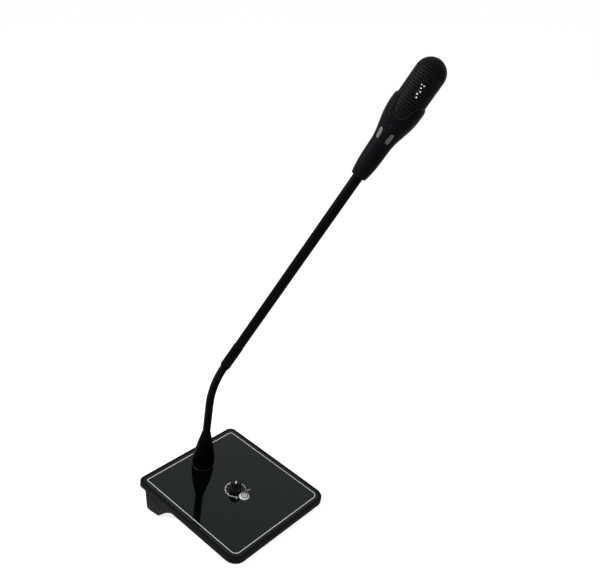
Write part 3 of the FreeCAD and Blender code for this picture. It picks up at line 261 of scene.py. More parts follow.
FINISHES: dict[str, Finish] = {
    f.name: f
    for f in (
        Finish("panel_gloss", (0.0008, 0.0012, 0.0012), shade=0.15, roughness=0.045, roughness_spread=0.02,
               specular=0.2, tint=(0.86, 1.0, 1.0), grain=Grain.PEEL, grain_size=9, grain_depth=0.004,
               mottle_size=30),
        Finish("panel_print", (0.82, 0.83, 0.83), shade=0.04, roughness=0.45),
        Finish("housing_matte", (0.005, 0.0052, 0.0056), specular=0.04, roughness=0.55,
               grain=Grain.MOULD, grain_size=0.45, grain_depth=0.03),
        Finish("boot_rubber", (0.0008, 0.0008, 0.0011), specular=0.008, roughness=0.42,
               roughness_spread=0.08, grain=Grain.PEEL, grain_size=1.2, grain_depth=0.01, mottle_size=6),
        Finish("foot_rubber", (0.018, 0.018, 0.018), specular=0.2, roughness=0.7,
               grain=Grain.MOULD, grain_size=0.6, grain_depth=0.05),
        Finish("coil_black", (0.0026, 0.0026, 0.0028), specular=0.02, roughness=0.42,
               roughness_spread=0.1, grain=Grain.PEEL, grain_size=0.35, grain_depth=0.01, mottle_size=3),
        Finish("tube_black", (0.0022, 0.0022, 0.0026), specular=0.018, roughness=0.3,
               grain=Grain.PEEL, grain_size=0.7, grain_depth=0.006),
        Finish("tube_gloss", (0.002, 0.002, 0.0024), specular=0.02, roughness=0.2,
               grain=Grain.PEEL, grain_size=0.9, grain_depth=0.006),
        Finish("head_black", (0.0056, 0.006, 0.0072), specular=0.016, roughness=0.34,
               grain=Grain.PEEL, grain_size=0.5, grain_depth=0.006),
        Finish("petal_edge", (0.012, 0.012, 0.013), specular=0.25, roughness=0.3,
               grain=Grain.PEEL, grain_size=0.5, grain_depth=0.004),
        Finish("grille_black", (0.0095, 0.0095, 0.011), specular=0.03, roughness=0.45,
               roughness_spread=0.08, grain=Grain.PEEL, grain_size=0.3, grain_depth=0.01, mottle_size=4),
        Finish("lining_cloth", (0.002, 0.002, 0.0022), shade=0.3, specular=0.01, roughness=0.9,
               grain=Grain.MOULD, grain_size=0.3, grain_depth=0.05, mottle_size=2),
        Finish("lens_frost", (0.095, 0.095, 0.105), shade=0.05, roughness=0.5, subsurface=0.2,
               mottle_size=5),
        Finish("knob_black", (0.0065, 0.0065, 0.0072), specular=0.14, roughness=0.25,
               grain=Grain.MOULD, grain_size=0.25, grain_depth=0.01, mottle_size=4),
        Finish("pointer_white", (0.75, 0.75, 0.74), shade=0.03),
        Finish("button_white", (0.74, 0.76, 0.75), shade=0.04, roughness=0.35, mottle_size=4),
        Finish("bezel_grey", (0.72, 0.74, 0.73), shade=0.1, roughness=0.35, mottle_size=1.5),
        Finish("print_dark", (0.008, 0.008, 0.009), mottle_size=4),
        Finish("laminate_green", (0.015, 0.09, 0.045), mottle_size=4),
        Finish("component_black", (0.02, 0.02, 0.02), roughness=0.5, grain=Grain.MOULD, grain_size=0.3),
        Finish("lamp_clear", (0.8, 0.8, 0.7), roughness=0.2),
        metal("zinc", (0.55, 0.56, 0.58), 0.32, 0.1),
        metal("nickel", (0.64, 0.62, 0.58), 0.2, 0.06, depth=0.003),
        metal("blackened_steel", (0.05, 0.05, 0.055), 0.35, 0.08),
    )
}


# ---------------------------------------------------------------- places


@dataclass(frozen=True)
class Place:
    """A local frame in the part: z along an axis, x to one side of it."""

    origin: Vector
    z: Vector
    x: Vector

    @property
    def y(self) -> Vector:
        """The direction square to z and x."""
        return self.z.cross(self.x)

    @property
    def matrix(self) -> Matrix:
        """The matrix that carries local points to the part's frame."""
        columns = (self.x, self.y, self.z, self.origin)
        return Matrix((*([c[i] for c in columns] for i in range(3)), (0, 0, 0, 1)))

    def raised(self, distance: float) -> "Place":
        """The same frame further along its z by a distance."""
        return Place(self.origin + self.z * distance, self.z, self.x)

    def forward(self, distance: float) -> "Place":
        """The same frame, moved against its y by a distance in millimetres."""
        return Place(self.origin - self.y * distance * MM, self.z, self.x)

    def foot_of(self, node: str) -> float:
        """The least height along z of a node's corners."""
        return min((Vector(p) - self.origin).dot(self.z) for p in points_of(node))


def squared(origin: Vector, z: Vector, near_x: Vector) -> Place:
    """Make a frame whose x lies as near as it can to a direction.

    Args:
        origin: The frame's origin.
        z: The axis.
        near_x: The direction that x follows.

    Returns:
        The frame.
    """
    z = z.normalized()
    x = (near_x - z * near_x.dot(z)).normalized()
    return Place(origin.copy(), z, x)


def joint_named(name: str) -> dict:
    """The record's joint of a name."""
    return next(j for j in frame["joints"] if j["name"] == name)


def middle_of(node: str) -> Vector:
    """The middle of a node's box."""
    low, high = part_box(node)
    return (low + high) / 2


def points_of(node: str) -> np.ndarray:
    """Read the corners of a node's solids.

    Args:
        node: The node.

    Returns:
        Its corners, as rows of x, y and z.
    """
    mesh = frame["nodes"][node].data
    flat = np.empty(len(mesh.vertices) * 3)
    mesh.vertices.foreach_get("co", flat)
    return np.unique(flat.reshape(-1, 3).round(7), axis=0)


def panel_place(thickness: float) -> Place:
    """The panel's frame at the middle of its top face: x to the right, y to the back."""
    normal = Vector(joint_named("volume_turn")["axis"])
    return squared(middle_of("top_panel") + normal * thickness / 2, normal, Vector((1, 0, 0)))


def arm_place() -> Place:
    """Find the straight arm from its tube.

    Returns:
        Its frame, with its origin at the ferrule's lower end and x towards the set screw.
    """
    tube = points_of("rigid_tube")
    centre = Vector(tube.mean(axis=0))
    along = Vector(np.linalg.svd(tube - tube.mean(axis=0), full_matrices=False)[2][0])
    along *= math.copysign(1, along.z)
    place = squared(centre, along, middle_of("set_screw") - centre)
    return place.raised(place.foot_of("lower_ferrule"))


# ---------------------------------------------------------------- outlines


def polar(radius: float, turn: float, *rest: float) -> tuple[float, ...]:
    """The point at a radius and an angle, with its other coordinates after it."""
    return (radius * math.cos(turn), radius * math.sin(turn), *rest)


def turns_of(count: int) -> list[float]:
    """Even angles all the way round."""
    return [math.tau * k / count for k in range(count)]


def quarter(count: int) -> list[float]:
    """Even angles from 0 up to a right angle, both included."""
    return [math.radians(90 * k / count) for k in range(count + 1)]


def circle(radius: float, x: float, y: float, count: int) -> list[Point]:
    """The points of a circle about x and y, anticlockwise."""
    return [(x + radius * math.cos(t), y + radius * math.sin(t)) for t in turns_of(count)]


def hoop(radius: float, height: float, count: int) -> Loop:
    """The points of a level circle about the z axis."""
    return [polar(radius, t, height) for t in turns_of(count)]


def flowing(points: Sequence[Sequence[float]], step: float) -> Loop:
    """Lay a smooth curve through points.

    Args:
        points: The points, all in two or all in three dimensions.
        step: The length of each straight piece of the result.

    Returns:
        Closely spaced points along the curve.
    """
    p = [Vector(q) for q in points]
    p = [2 * p[0] - p[1], *p, 2 * p[-1] - p[-2]]
    result: Loop = []
    for four in zip(p, p[1:], p[2:], p[3:]):
        knots = list(accumulate(math.sqrt((b - a).length) for a, b in zip(four, four[1:])))
        count = max(1, round((four[2] - four[1]).length / step))
        for k in range(count):
            result.append(tuple(between(four, knots, knots[0] + (knots[1] - knots[0]) * k / count)))
    return result + [tuple(points[-1])]


def between(four: Sequence[Vector], knots: Sequence[float], t: float) -> Vector:
    """Find a point of the centripetal curve between the middle two of four points.

    Args:
        four: The points.
        knots: The curve's parameters at the second, third and fourth.
        t: The parameter of the point that is wanted.

    Returns:
        The point.
    """
    (a, b, c, d), (t1, t2, t3) = four, knots
    ab = a.lerp(b, t / t1)
    bc = b.lerp(c, (t - t1) / (t2 - t1))
    cd = c.lerp(d, (t - t2) / (t3 - t2))
    return ab.lerp(bc, t / t2).lerp(bc.lerp(cd, (t - t1) / (t3 - t1)), (t - t1) / (t2 - t1))


def eased(corners: Sequence[tuple[float, ...]], steps: int = 4) -> list[Point]:
    """Round the corners of a turned profile.

    Args:
        corners: (radius, height) corners; a third number is the rounding, except at the ends.
        steps: How many straight pieces make each rounding.

    Returns:
        The points of the rounded profile.
    """
    result: list[Point] = []
    for i, corner in enumerate(corners):
        here = Vector(corner[:2])
        if len(corner) == 2 or i in (0, len(corners) - 1):
            result.append(tuple(here))
            continue
        before = (Vector(corners[i - 1][:2]) - here).normalized()
        after = (Vector(corners[i + 1][:2]) - here).normalized()
        result += arc_between(here, before, after, corner[2], steps)
    return result


def arc_between(corner: Vector, before: Vector, after: Vector, radius: float, steps: int) -> list[Point]:
    """Round one corner with an arc.

    Args:
        corner: The corner.
        before: The unit direction to the corner before it.
        after: The unit direction to the corner after it.
        radius: The arc's radius.
        steps: How many straight pieces make the arc.

    Returns:
        The arc's points, ends included.
    """
    half = before.angle(after) / 2
    centre = corner + (before + after).normalized() * (radius / math.sin(half))
    start = corner + before * (radius / math.tan(half)) - centre
    stop = corner + after * (radius / math.tan(half)) - centre
    turn = math.pi - 2 * half
    points: list[Point] = []
    for k in range(steps + 1):
        still, gone = math.sin(turn * (1 - k / steps)), math.sin(turn * k / steps)
        points.append(tuple(centre + (start * still + stop * gone) / math.sin(turn)))
    return points


def rounded_rectangle(width: float, depth: float, radii: Sequence[float], steps: int = 14) -> list[Point]:
    """Outline a rectangle with rounded corners, anticlockwise from the front left.

    Args:
        width: Its size along x.
        depth: Its size along y.
        radii: The four corners' radii, from the front left anticlockwise.
        steps: How many straight pieces make each corner.

    Returns:
        The outline's points.
    """
    signs = ((-1, -1), (1, -1), (1, 1), (-1, 1))
    corners = [Vector((sx * width / 2, sy * depth / 2)) for sx, sy in signs]
    result: list[Point] = []
    for i, (corner, radius) in enumerate(zip(corners, radii)):
        before = (corners[i - 1] - corner).normalized()
        after = (corners[(i + 1) % 4] - corner).normalized()
        result += arc_between(corner, before, after, radius, steps)
    return result


# ---------------------------------------------------------------- meshes


def ring_of(bm: BMesh, points: Iterable[Sequence[float]]) -> list[BMVert]:
    """Add one loop of corners."""
    return [bm.verts.new(p) for p in points]


def bridge(bm: BMesh, low: list[BMVert], high: list[BMVert]) -> None:
    """Join two loops with faces.

    Args:
        bm: The mesh.
        low: The first loop.
        high: The second loop, of the same length unless one of the two is a single corner.
    """
    if len(low) == len(high):
        for i in range(len(low) if len(low) > 1 else 0):
            j = (i + 1) % len(low)
            bm.faces.new((low[i], low[j], high[j], high[i]))
    else:
        (hub,), rim = sorted((low, high), key=len)
        for a, b in zip(rim, rim[1:] + rim[:1]):
            bm.faces.new((hub, a, b))


def stacked(loops: Sequence[Loop], closed: bool = False) -> BMesh:
    """Join a row of loops into a solid.

    Args:
        loops: The loops, all of the same length unless they are single points.
        closed: True if the last loop joins the first; otherwise both are filled.

    Returns:
        The mesh.
    """
    bm = bmesh.new()
    rings = [ring_of(bm, loop) for loop in loops]
    for low, high in zip(rings, rings[1:]):
        bridge(bm, low, high)
    if closed:
        bridge(bm, rings[-1], rings[0])
    else:
        for end in (rings[0], rings[-1]):
            bm.faces.new(end)
    return bm


def turned(profile: Sequence[Point], segments: int) -> BMesh:
    """Turn a profile about the z axis.

    Args:
        profile: The (radius, height) points of a closed outline, or of one that ends on the axis.
        segments: How many faces go round.

    Returns:
        The mesh.
    """
    loops = [hoop(r, z, segments) if r > 0 else [(0, 0, z)] for r, z in profile]
    return stacked(loops, closed=True)


def pierced_plate(outer: Sequence[tuple[Sequence[Point], float]], holes: Sequence[Sequence[Point]]) -> BMesh:
    """Make a plate with holes right through it.

    Args:
        outer: The outside as (outline, height) loops from the bottom up.
        holes: The outline of each hole.

    Returns:
        The mesh.
    """
    bm = bmesh.new()
    sides = [ring_of(bm, [(x, y, z) for x, y in outline]) for outline, z in outer]
    for low, high in zip(sides, sides[1:]):
        bridge(bm, low, high)
    ends = []
    for side, height in ((sides[0], outer[0][1]), (sides[-1], outer[-1][1])):
        rings = [side, *(ring_of(bm, [(x, y, height) for x, y in hole]) for hole in holes)]
        corners = [v for ring in rings for v in ring]
        for face in tessellate_polygon([[v.co for v in ring] for ring in rings]):
            bm.faces.new([corners[i] for i in face])
        ends.append(rings[1:])
        for a, b in zip(side, side[1:] + side[:1]):
            bm.edges.get((a, b)).smooth = False
    for low, high in zip(*ends):
        bridge(bm, low, high)
    return bm


def strip(path: Sequence[Point], width: float, thickness: float, closed: bool = False) -> BMesh:
    """Make a thin flat strip along a path, as a printed line.

    Args:
        path: The middle of the line, in the plane z = 0.
        width: The line's width.
        thickness: How far it stands up.
        closed: True if the line comes back to its start.

    Returns:
        The mesh.
    """
    last = len(path) - 1
    sections = []
    for i, (x, y) in enumerate(path):
        a = Vector(path[i - 1] if closed or i > 0 else path[0])
        b = Vector(path[(i + 1) % len(path)] if closed or i < last else path[-1])
        ahead = (b - a).normalized()
        side = Vector((-ahead.y, ahead.x)) * width / 2
        corners = ((1, 0), (1, thickness), (-1, thickness), (-1, 0))
        sections.append([(x + way * side.x, y + way * side.y, z) for way, z in corners])
    return stacked(sections, closed)


def soften(bm: BMesh, angle: float) -> None:
    """Shade a mesh smooth, apart from edges sharper than an angle and edges already marked.

    Args:
        bm: The mesh.
        angle: The angle, in degrees.
    """
    limit = math.radians(angle)
    for face in bm.faces:
        face.smooth = True
    for edge in bm.edges:
        edge.smooth &= len(edge.link_faces) == 2 and edge.calc_face_angle(0) < limit


def as_mesh(name: str, bm: BMesh) -> Mesh:
    """Turn a mesh under construction into a named one, and free it.

    Args:
        name: The mesh's name.
        bm: The mesh under construction.

    Returns:
        The named mesh.
    """
    mesh = bpy.data.meshes.new(name)
    bm.to_mesh(mesh)
    bm.free()
    return mesh


def linked(name: str, data: bpy.types.ID) -> Object:
    """Make an object of some data in the scene.

    Args:
        name: The object's name.
        data: Its mesh, curve, light or camera.

    Returns:
        The object.
    """
    thing = bpy.data.objects.new(name, data)
    bpy.context.scene.collection.objects.link(thing)
    return thing


def together(parts: Iterable[BMesh]) -> BMesh:
    """Join meshes into one.

    Args:
        parts: The meshes, which are freed.

    Returns:
        The joined mesh.
    """
    bm = bmesh.new()
    for part in parts:
        mesh = as_mesh("part", part)
        bm.from_mesh(mesh)
        bpy.data.meshes.remove(mesh)
    return bm


def altered(bm: BMesh, kind: str, settings: dict[str, object], inputs: dict[str, object]) -> BMesh:
    """Put a mesh through one modifier, and remove the objects that only the modifier needed.

    Args:
        bm: The mesh, which is freed.
        kind: The modifier's type.
        settings: Its properties.
        inputs: The values of a node tree's inputs, by their identifiers.

    Returns:
        The resulting mesh.
    """
    thing = linked("altered", as_mesh("altered", bm))
    modifier = thing.modifiers.new("change", kind)
    for name, value in settings.items():
        setattr(modifier, name, value)
    for name, value in inputs.items():
        modifier[name] = value
    graph = bpy.context.evaluated_depsgraph_get()
    mesh = bpy.data.meshes.new_from_object(thing.evaluated_get(graph))
    result = bmesh.new()
    result.from_mesh(mesh)
    bpy.data.meshes.remove(mesh)
    thing.modifiers.clear()
    helpers = [v for v in (*settings.values(), *inputs.values()) if isinstance(v, Object)]
    for spent in (thing, *helpers):
        bpy.data.objects.remove(spent)
    return result


def carved(body: BMesh, tool: BMesh) -> BMesh:
    """One closed mesh with another cut out of it; both are freed."""
    taken = linked("taken", as_mesh("taken", tool))
    return altered(body, "BOOLEAN", {"operation": "DIFFERENCE", "solver": "EXACT", "object": taken}, {})


def bevelled(bm: BMesh, width: float, angle: float) -> BMesh:
    """Round a mesh's sharp edges.

    Args:
        bm: The mesh, which is freed.
        width: The width of the rounding.
        angle: The least angle of an edge that is rounded, in degrees.

    Returns:
        The rounded mesh.
    """
    settings = {
        "width": width, "segments": 2, "limit_method": "ANGLE", "angle_limit": math.radians(angle),
        "harden_normals": False,
    }
    return altered(bm, "BEVEL", settings, {})


def merged_copy(node: str) -> BMesh:
    """Copy a node's mesh, with its loose triangles joined into flat faces.

    Args:
        node: The node.

    Returns:
        The copy, in millimetres.
    """
    bm = bmesh.new()
    bm.from_mesh(frame["nodes"][node].data)
    bm.transform(Matrix.Scale(1 / MM, 4))
    bmesh.ops.remove_doubles(bm, verts=bm.verts[:], dist=1e-3)
    flat = math.radians(0.5)
    bmesh.ops.dissolve_limit(bm, angle_limit=flat, verts=bm.verts[:], edges=bm.edges[:])
    return bm


# ---------------------------------------------------------------- trees


class Tree:
    """A Geometry Nodes tree that is built a node at a time."""

    def __init__(self, name: str) -> None:
        """Start an empty tree.

        Args:
            name: The tree's name.
        """
        self.group = bpy.data.node_groups.new(name, "GeometryNodeTree")
        self.names: dict[str, str] = {}
        for way in ("INPUT", "OUTPUT"):
            self.group.interface.new_socket("Geometry", in_out=way, socket_type="NodeSocketGeometry")
        self.entry = self.group.nodes.new("NodeGroupInput")
        self.exit = self.group.nodes.new("NodeGroupOutput")
        self.geometry = self.entry.outputs["Geometry"]

    def takes(self, kind: str, *names: str) -> list[NodeSocket]:
        """Add named inputs of one kind.

        Args:
            kind: The kind, such as Float, Int, Vector, Object or Material.
            names: The inputs' names.

        Returns:
            The outputs that hold their values inside the tree.
        """
        for name in names:
            socket = {"in_out": "INPUT", "socket_type": "NodeSocket" + kind}
            self.names[name] = self.group.interface.new_socket(name, **socket).identifier
        return [self.entry.outputs[name] for name in names]

    def node(self, kind: str, feeds: Feeds, settings: dict[str, object] | None = None) -> Node:
        """Add a node of a type, with what its inputs get and its properties."""
        return add_node(self.group, kind, feeds, settings)

    def geo(self, kind: str, feeds: Feeds, settings: dict[str, object] | None = None) -> NodeSocket:
        """Add a Geometry Nodes node, and take its first output."""
        return self.node("GeometryNode" + kind, feeds, settings).outputs[0]

    def number(self, operation: str, *terms: object) -> NodeSocket:
        """Work on numbers with one operation of the Math node."""
        return self.node("ShaderNodeMath", dict(enumerate(terms)), {"operation": operation}).outputs[0]

    def vector(self, operation: str, *terms: object) -> NodeSocket:
        """Work on vectors with one operation of the Vector Math node."""
        feeds = {(3 if operation == "SCALE" and i else i): term for i, term in enumerate(terms)}
        return self.node("ShaderNodeVectorMath", feeds, {"operation": operation}).outputs[0]

    def finish(self, geometry: NodeSocket) -> "Tree":
        """End the tree in real geometry with a material.

        Args:
            geometry: The output that holds the result.

        Returns:
            The tree itself.
        """
        (material,) = self.takes("Material", "Material")
        real = self.geo("RealizeInstances", {"Geometry": geometry})
        dressed = self.geo("SetMaterial", {"Geometry": real, "Material": material})
        self.group.links.new(dressed, self.exit.inputs["Geometry"])
        return self

    def grown(self, values: dict[str, object], base: BMesh | None = None) -> BMesh:
        """Run the tree.

        Args:
            values: The value of each named input.
            base: The geometry that goes in, if it takes any.

        Returns:
            The resulting mesh.
        """
        inputs = {self.names[name]: value for name, value in values.items()}
        start = bmesh.new() if base is None else base
        return altered(start, "NODES", {"node_group": self.group}, inputs)


def ring_tree() -> Tree:
    """Build a tree that repeats its geometry round the z axis, at even steps.

    Returns:
        The tree.
    """
    tree = Tree("ring_of_copies")
    (count,) = tree.takes("Int", "Count")
    start, step = tree.takes("Float", "Start", "Step")
    turn = tree.number("ADD", start, tree.number("MULTIPLY", tree.geo("InputIndex", {}), step))
    turned_by = tree.node("ShaderNodeCombineXYZ", {"Z": turn}).outputs[0]
    points = tree.geo("Points", {"Count": count})
    feeds = {"Points": points, "Instance": tree.geometry, "Rotation": turned_by}
    return tree.finish(tree.geo("InstanceOnPoints", feeds))


def perforation_tree() -> Tree:
    """Build a tree that cuts a round hole through its geometry at each point of another object.

    Returns:
        The tree.
    """
    tree = Tree("perforation")
    (spots,), (sides,) = tree.takes("Object", "Spots"), tree.takes("Int", "Hole sides")
    radius, depth = tree.takes("Float", "Hole radius", "Hole depth")
    places = tree.node("GeometryNodeObjectInfo", {"Object": spots}).outputs["Geometry"]
    punch = tree.geo("MeshCylinder", {"Vertices": sides, "Radius": radius, "Depth": depth})
    outward = tree.geo("InputNamedAttribute", {"Name": "outward"}, {"data_type": "FLOAT_VECTOR"})
    facing = tree.node("FunctionNodeAlignRotationToVector", {"Vector": outward}, {"axis": "Z"}).outputs[0]
    punches = tree.geo("InstanceOnPoints", {"Points": places, "Instance": punch, "Rotation": facing})
    real = tree.geo("RealizeInstances", {"Geometry": punches})
    way = {"operation": "DIFFERENCE", "solver": "MANIFOLD"}
    return tree.finish(tree.geo("MeshBoolean", {"Mesh 1": tree.geometry, "Mesh 2": real}, way))


def coil_tree() -> Tree:
    """Build a tree that lays a wound sleeve along a stretch of a curve.

    Returns:
        The tree.
    """
    tree = Tree("wound_sleeve")
    (path,), (side,) = tree.takes("Object", "Path"), tree.takes("Vector", "Side")
    start, stop, radius, pitch, depth = tree.takes("Float", "Start", "Stop", "Radius", "Pitch", "Depth")
    rows, columns = tree.takes("Int", "Rows", "Columns")
    grid = tree.geo("MeshGrid", {"Size X": 1.0, "Size Y": 1.0, "Vertices X": rows, "Vertices Y": columns})
    split = tree.node("ShaderNodeSeparateXYZ", {0: tree.geo("InputPosition", {})})
    share = tree.number("ADD", split.outputs["X"], 0.5)
    turn = tree.number("ADD", split.outputs["Y"], 0.5)
    distance = tree.number("ADD", start, tree.number("MULTIPLY", share, tree.number("SUBTRACT", stop, start)))
    curve = tree.node("GeometryNodeObjectInfo", {"Object": path}).outputs["Geometry"]
    feeds = {"Curves": curve, "Length": distance}
    sample = tree.node("GeometryNodeSampleCurve", feeds, {"mode": "LENGTH"})
    angle = tree.number("MULTIPLY", turn, math.tau)
    other = tree.vector("CROSS_PRODUCT", sample.outputs["Tangent"], side)
    across = tree.vector("SCALE", side, tree.number("COSINE", angle))
    outward = tree.vector("ADD", across, tree.vector("SCALE", other, tree.number("SINE", angle)))
    winding = tree.number("SUBTRACT", tree.number("DIVIDE", distance, pitch), turn)
    ridge = tree.number("ABSOLUTE", tree.number("SINE", tree.number("MULTIPLY", winding, math.pi)))
    groove = tree.number("MULTIPLY", depth, tree.number("SUBTRACT", 1.0, ridge))
    reach = tree.number("SUBTRACT", radius, groove)
    spot = tree.vector("ADD", sample.outputs["Position"], tree.vector("SCALE", outward, reach))
    moved = tree.geo("SetPosition", {"Geometry": grid, "Position": spot})
    return tree.finish(tree.geo("MergeByDistance", {"Geometry": moved, "Distance": 1e-4}))


# ---------------------------------------------------------------- bench


@dataclass
class Bench:
    """Turns meshes in millimetres into finished pieces of the part."""

    finishes: dict[str, Material] = field(default_factory=dict)
    ring: Tree = field(default_factory=ring_tree)
    perforation: Tree = field(default_factory=perforation_tree)
    coil: Tree = field(default_factory=coil_tree)
    pieces: int = 0
    rounded_above: float = 40.0

    def material(self, finish: str) -> Material:
        """Build a finish's material, or take the one that is there already.

        Args:
            finish: The finish's name.

        Returns:
            The material.
        """
        if finish not in self.finishes:
            self.finishes[finish] = FINISHES[finish].build()
        return self.finishes[finish]

    def repeated(self, bm: BMesh, finish: str, count: int, start: float, step: float) -> BMesh:
        """Repeat a mesh with a finish round the z axis, from a start in steps, both in radians."""
        values = {"Count": count, "Start": start, "Step": step, "Material": self.material(finish)}
        return self.ring.grown(values, bm)

    def fit(
        self,
        name: str,
        bm: BMesh,
        finish: str,
        place: Place | None,
        carry: str | Callable[[Object], None],
        replaces: Sequence[str] = (),
        angle: float = 35.0,
    ) -> None:
        """Make a piece of the part.

        Args:
            name: The piece's name.
            bm: The mesh in millimetres, which is freed.
            finish: The name of its finish.
            place: Where it goes; none for a mesh in the part's own frame.
            carry: The body that it rides on, or a function that is called with it in place of a body.
            replaces: The nodes that it stands for.
            angle: The angle in degrees above which an edge stays sharp.
        """
        to_part = place.matrix if place else Matrix.Identity(4)
        bm.transform(to_part @ Matrix.Scale(MM, 4))
        bmesh.ops.recalc_face_normals(bm, faces=bm.faces[:])
        soften(bm, angle)
        mesh = as_mesh(name, bm)
        mesh.materials.clear()
        mesh.materials.append(self.material(finish))
        piece = linked(name, mesh)
        if isinstance(carry, str):
            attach(piece, carry)
        else:
            carry(piece)
        if replaces:
            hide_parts(*replaces)
        self.pieces += 1
        log.info("%s: %d faces", name, len(mesh.polygons))

    def keep(self, finish: str, *nodes: str) -> None:
        """Dress nodes that keep their own shape.

        Args:
            finish: The name of their finish.
            nodes: The nodes.
        """
        for node in nodes:
            for holder in frame["nodes"][node].material_slots:
                holder.link = "OBJECT"
                holder.material = self.material(finish)
            log.info("%s: kept", node)

    def dressed(self, finish: str, slot: str, width: float, *nodes: str) -> None:
        """Replace nodes of the base by copies with rounded edges.

        Args:
            finish: The name of their finish.
            slot: The record's material slot; not used.
            width: The width of the rounding, in millimetres.
            nodes: The nodes.
        """
        for node in nodes:
            bm = bevelled(merged_copy(node), width, self.rounded_above)
            self.fit(node + "_dressed", bm, finish, None, "base", (node,))


# ---------------------------------------------------------------- base


@dataclass
class Panel:
    """The glossy sheet on top of the base, with its matt border and its printed outline."""

    width: float = 130.0
    depth: float = 139.0
    corners: tuple[float, ...] = (12.0, 12.0, 7.0, 7.0)
    least_corner: float = 1.0
    thickness: float = 2.0
    edge_rounding: float = 0.5
    edge_steps: int = 6
    frame_width: float = 3.3
    frame_gap: float = 0.25
    frame_drop: float = 0.12
    line_inset: float = 6.5
    line_width: float = 0.66
    line_corners: tuple[float, ...] = (5.5, 5.5, 3.5, 0.8)
    print_height: float = 0.03
    hole_sides: int = 40
    neck_setback: float = 44.9
    neck_hole: float = 6.0
    knob_forward: float = 3.6
    knob_hole: float = 3.5
    button_forward: float = 16.0
    button_hole: float = 5.0

    def sheet(self) -> BMesh:
        """Model the sheet with its rounded top edge and its three holes.

        Returns:
            The mesh.
        """
        holes = (
            (self.neck_hole, self.neck_setback),
            (self.knob_hole, -self.knob_forward),
            (self.button_hole, -self.button_forward),
        )
        loops = self._sides(self.frame_width + self.frame_gap, self.frame_gap, 0.0)
        return pierced_plate(loops, [circle(radius, 0, y, self.hole_sides) for radius, y in holes])

    def border(self) -> BMesh:
        """The matt frame round the sheet, with a rounded outer edge and a fine gap to the sheet."""
        sides = self._sides(0.0, self.edge_rounding, self.frame_drop)
        return pierced_plate(sides, [self._inset(self.frame_width)])

    def outline(self) -> BMesh:
        """The printed line that runs round the sheet near its edge."""
        path = self._inset(self.line_inset + self.line_width / 2, self.line_corners, steps=10)
        return strip(path, self.line_width, self.print_height, closed=True)

    def _inset(self, inset: float, radii: Sequence[float] = (), steps: int = 14) -> list[Point]:
        """The panel's outline, moved in by a distance, with its own corners or other ones."""
        radii = radii or [max(self.least_corner, corner - inset) for corner in self.corners]
        return rounded_rectangle(self.width - 2 * inset, self.depth - 2 * inset, radii, steps)

    def _sides(self, inset: float, rounding: float, drop: float) -> list[tuple[list[Point], float]]:
        """Outline a plate at each height of its side.

        Args:
            inset: How far in from the panel's outline it lies.
            rounding: The radius of its top edge.
            drop: How far its top lies below the panel's.

        Returns:
            The (outline, height) loops from the bottom up.
        """
        steps = [(0.0, -self.thickness)]
        for t in quarter(self.edge_steps):
            steps.append((rounding - rounding * math.cos(t), rounding * math.sin(t) - rounding))
        return [(self._inset(inset + further), height - drop) for further, height in steps]

    def build(self, bench: Bench, place: Place) -> None:
        """Add the sheet, its border and its print.

        Args:
            bench: The bench that finishes pieces.
            place: The panel's frame.
        """
        bench.fit("panel_sheet", self.sheet(), "panel_gloss", place, "base", ("top_panel",))
        bench.fit("panel_border", self.border(), "housing_matte", place, "base")
        bench.fit("panel_outline", self.outline(), "panel_print", place, "base")


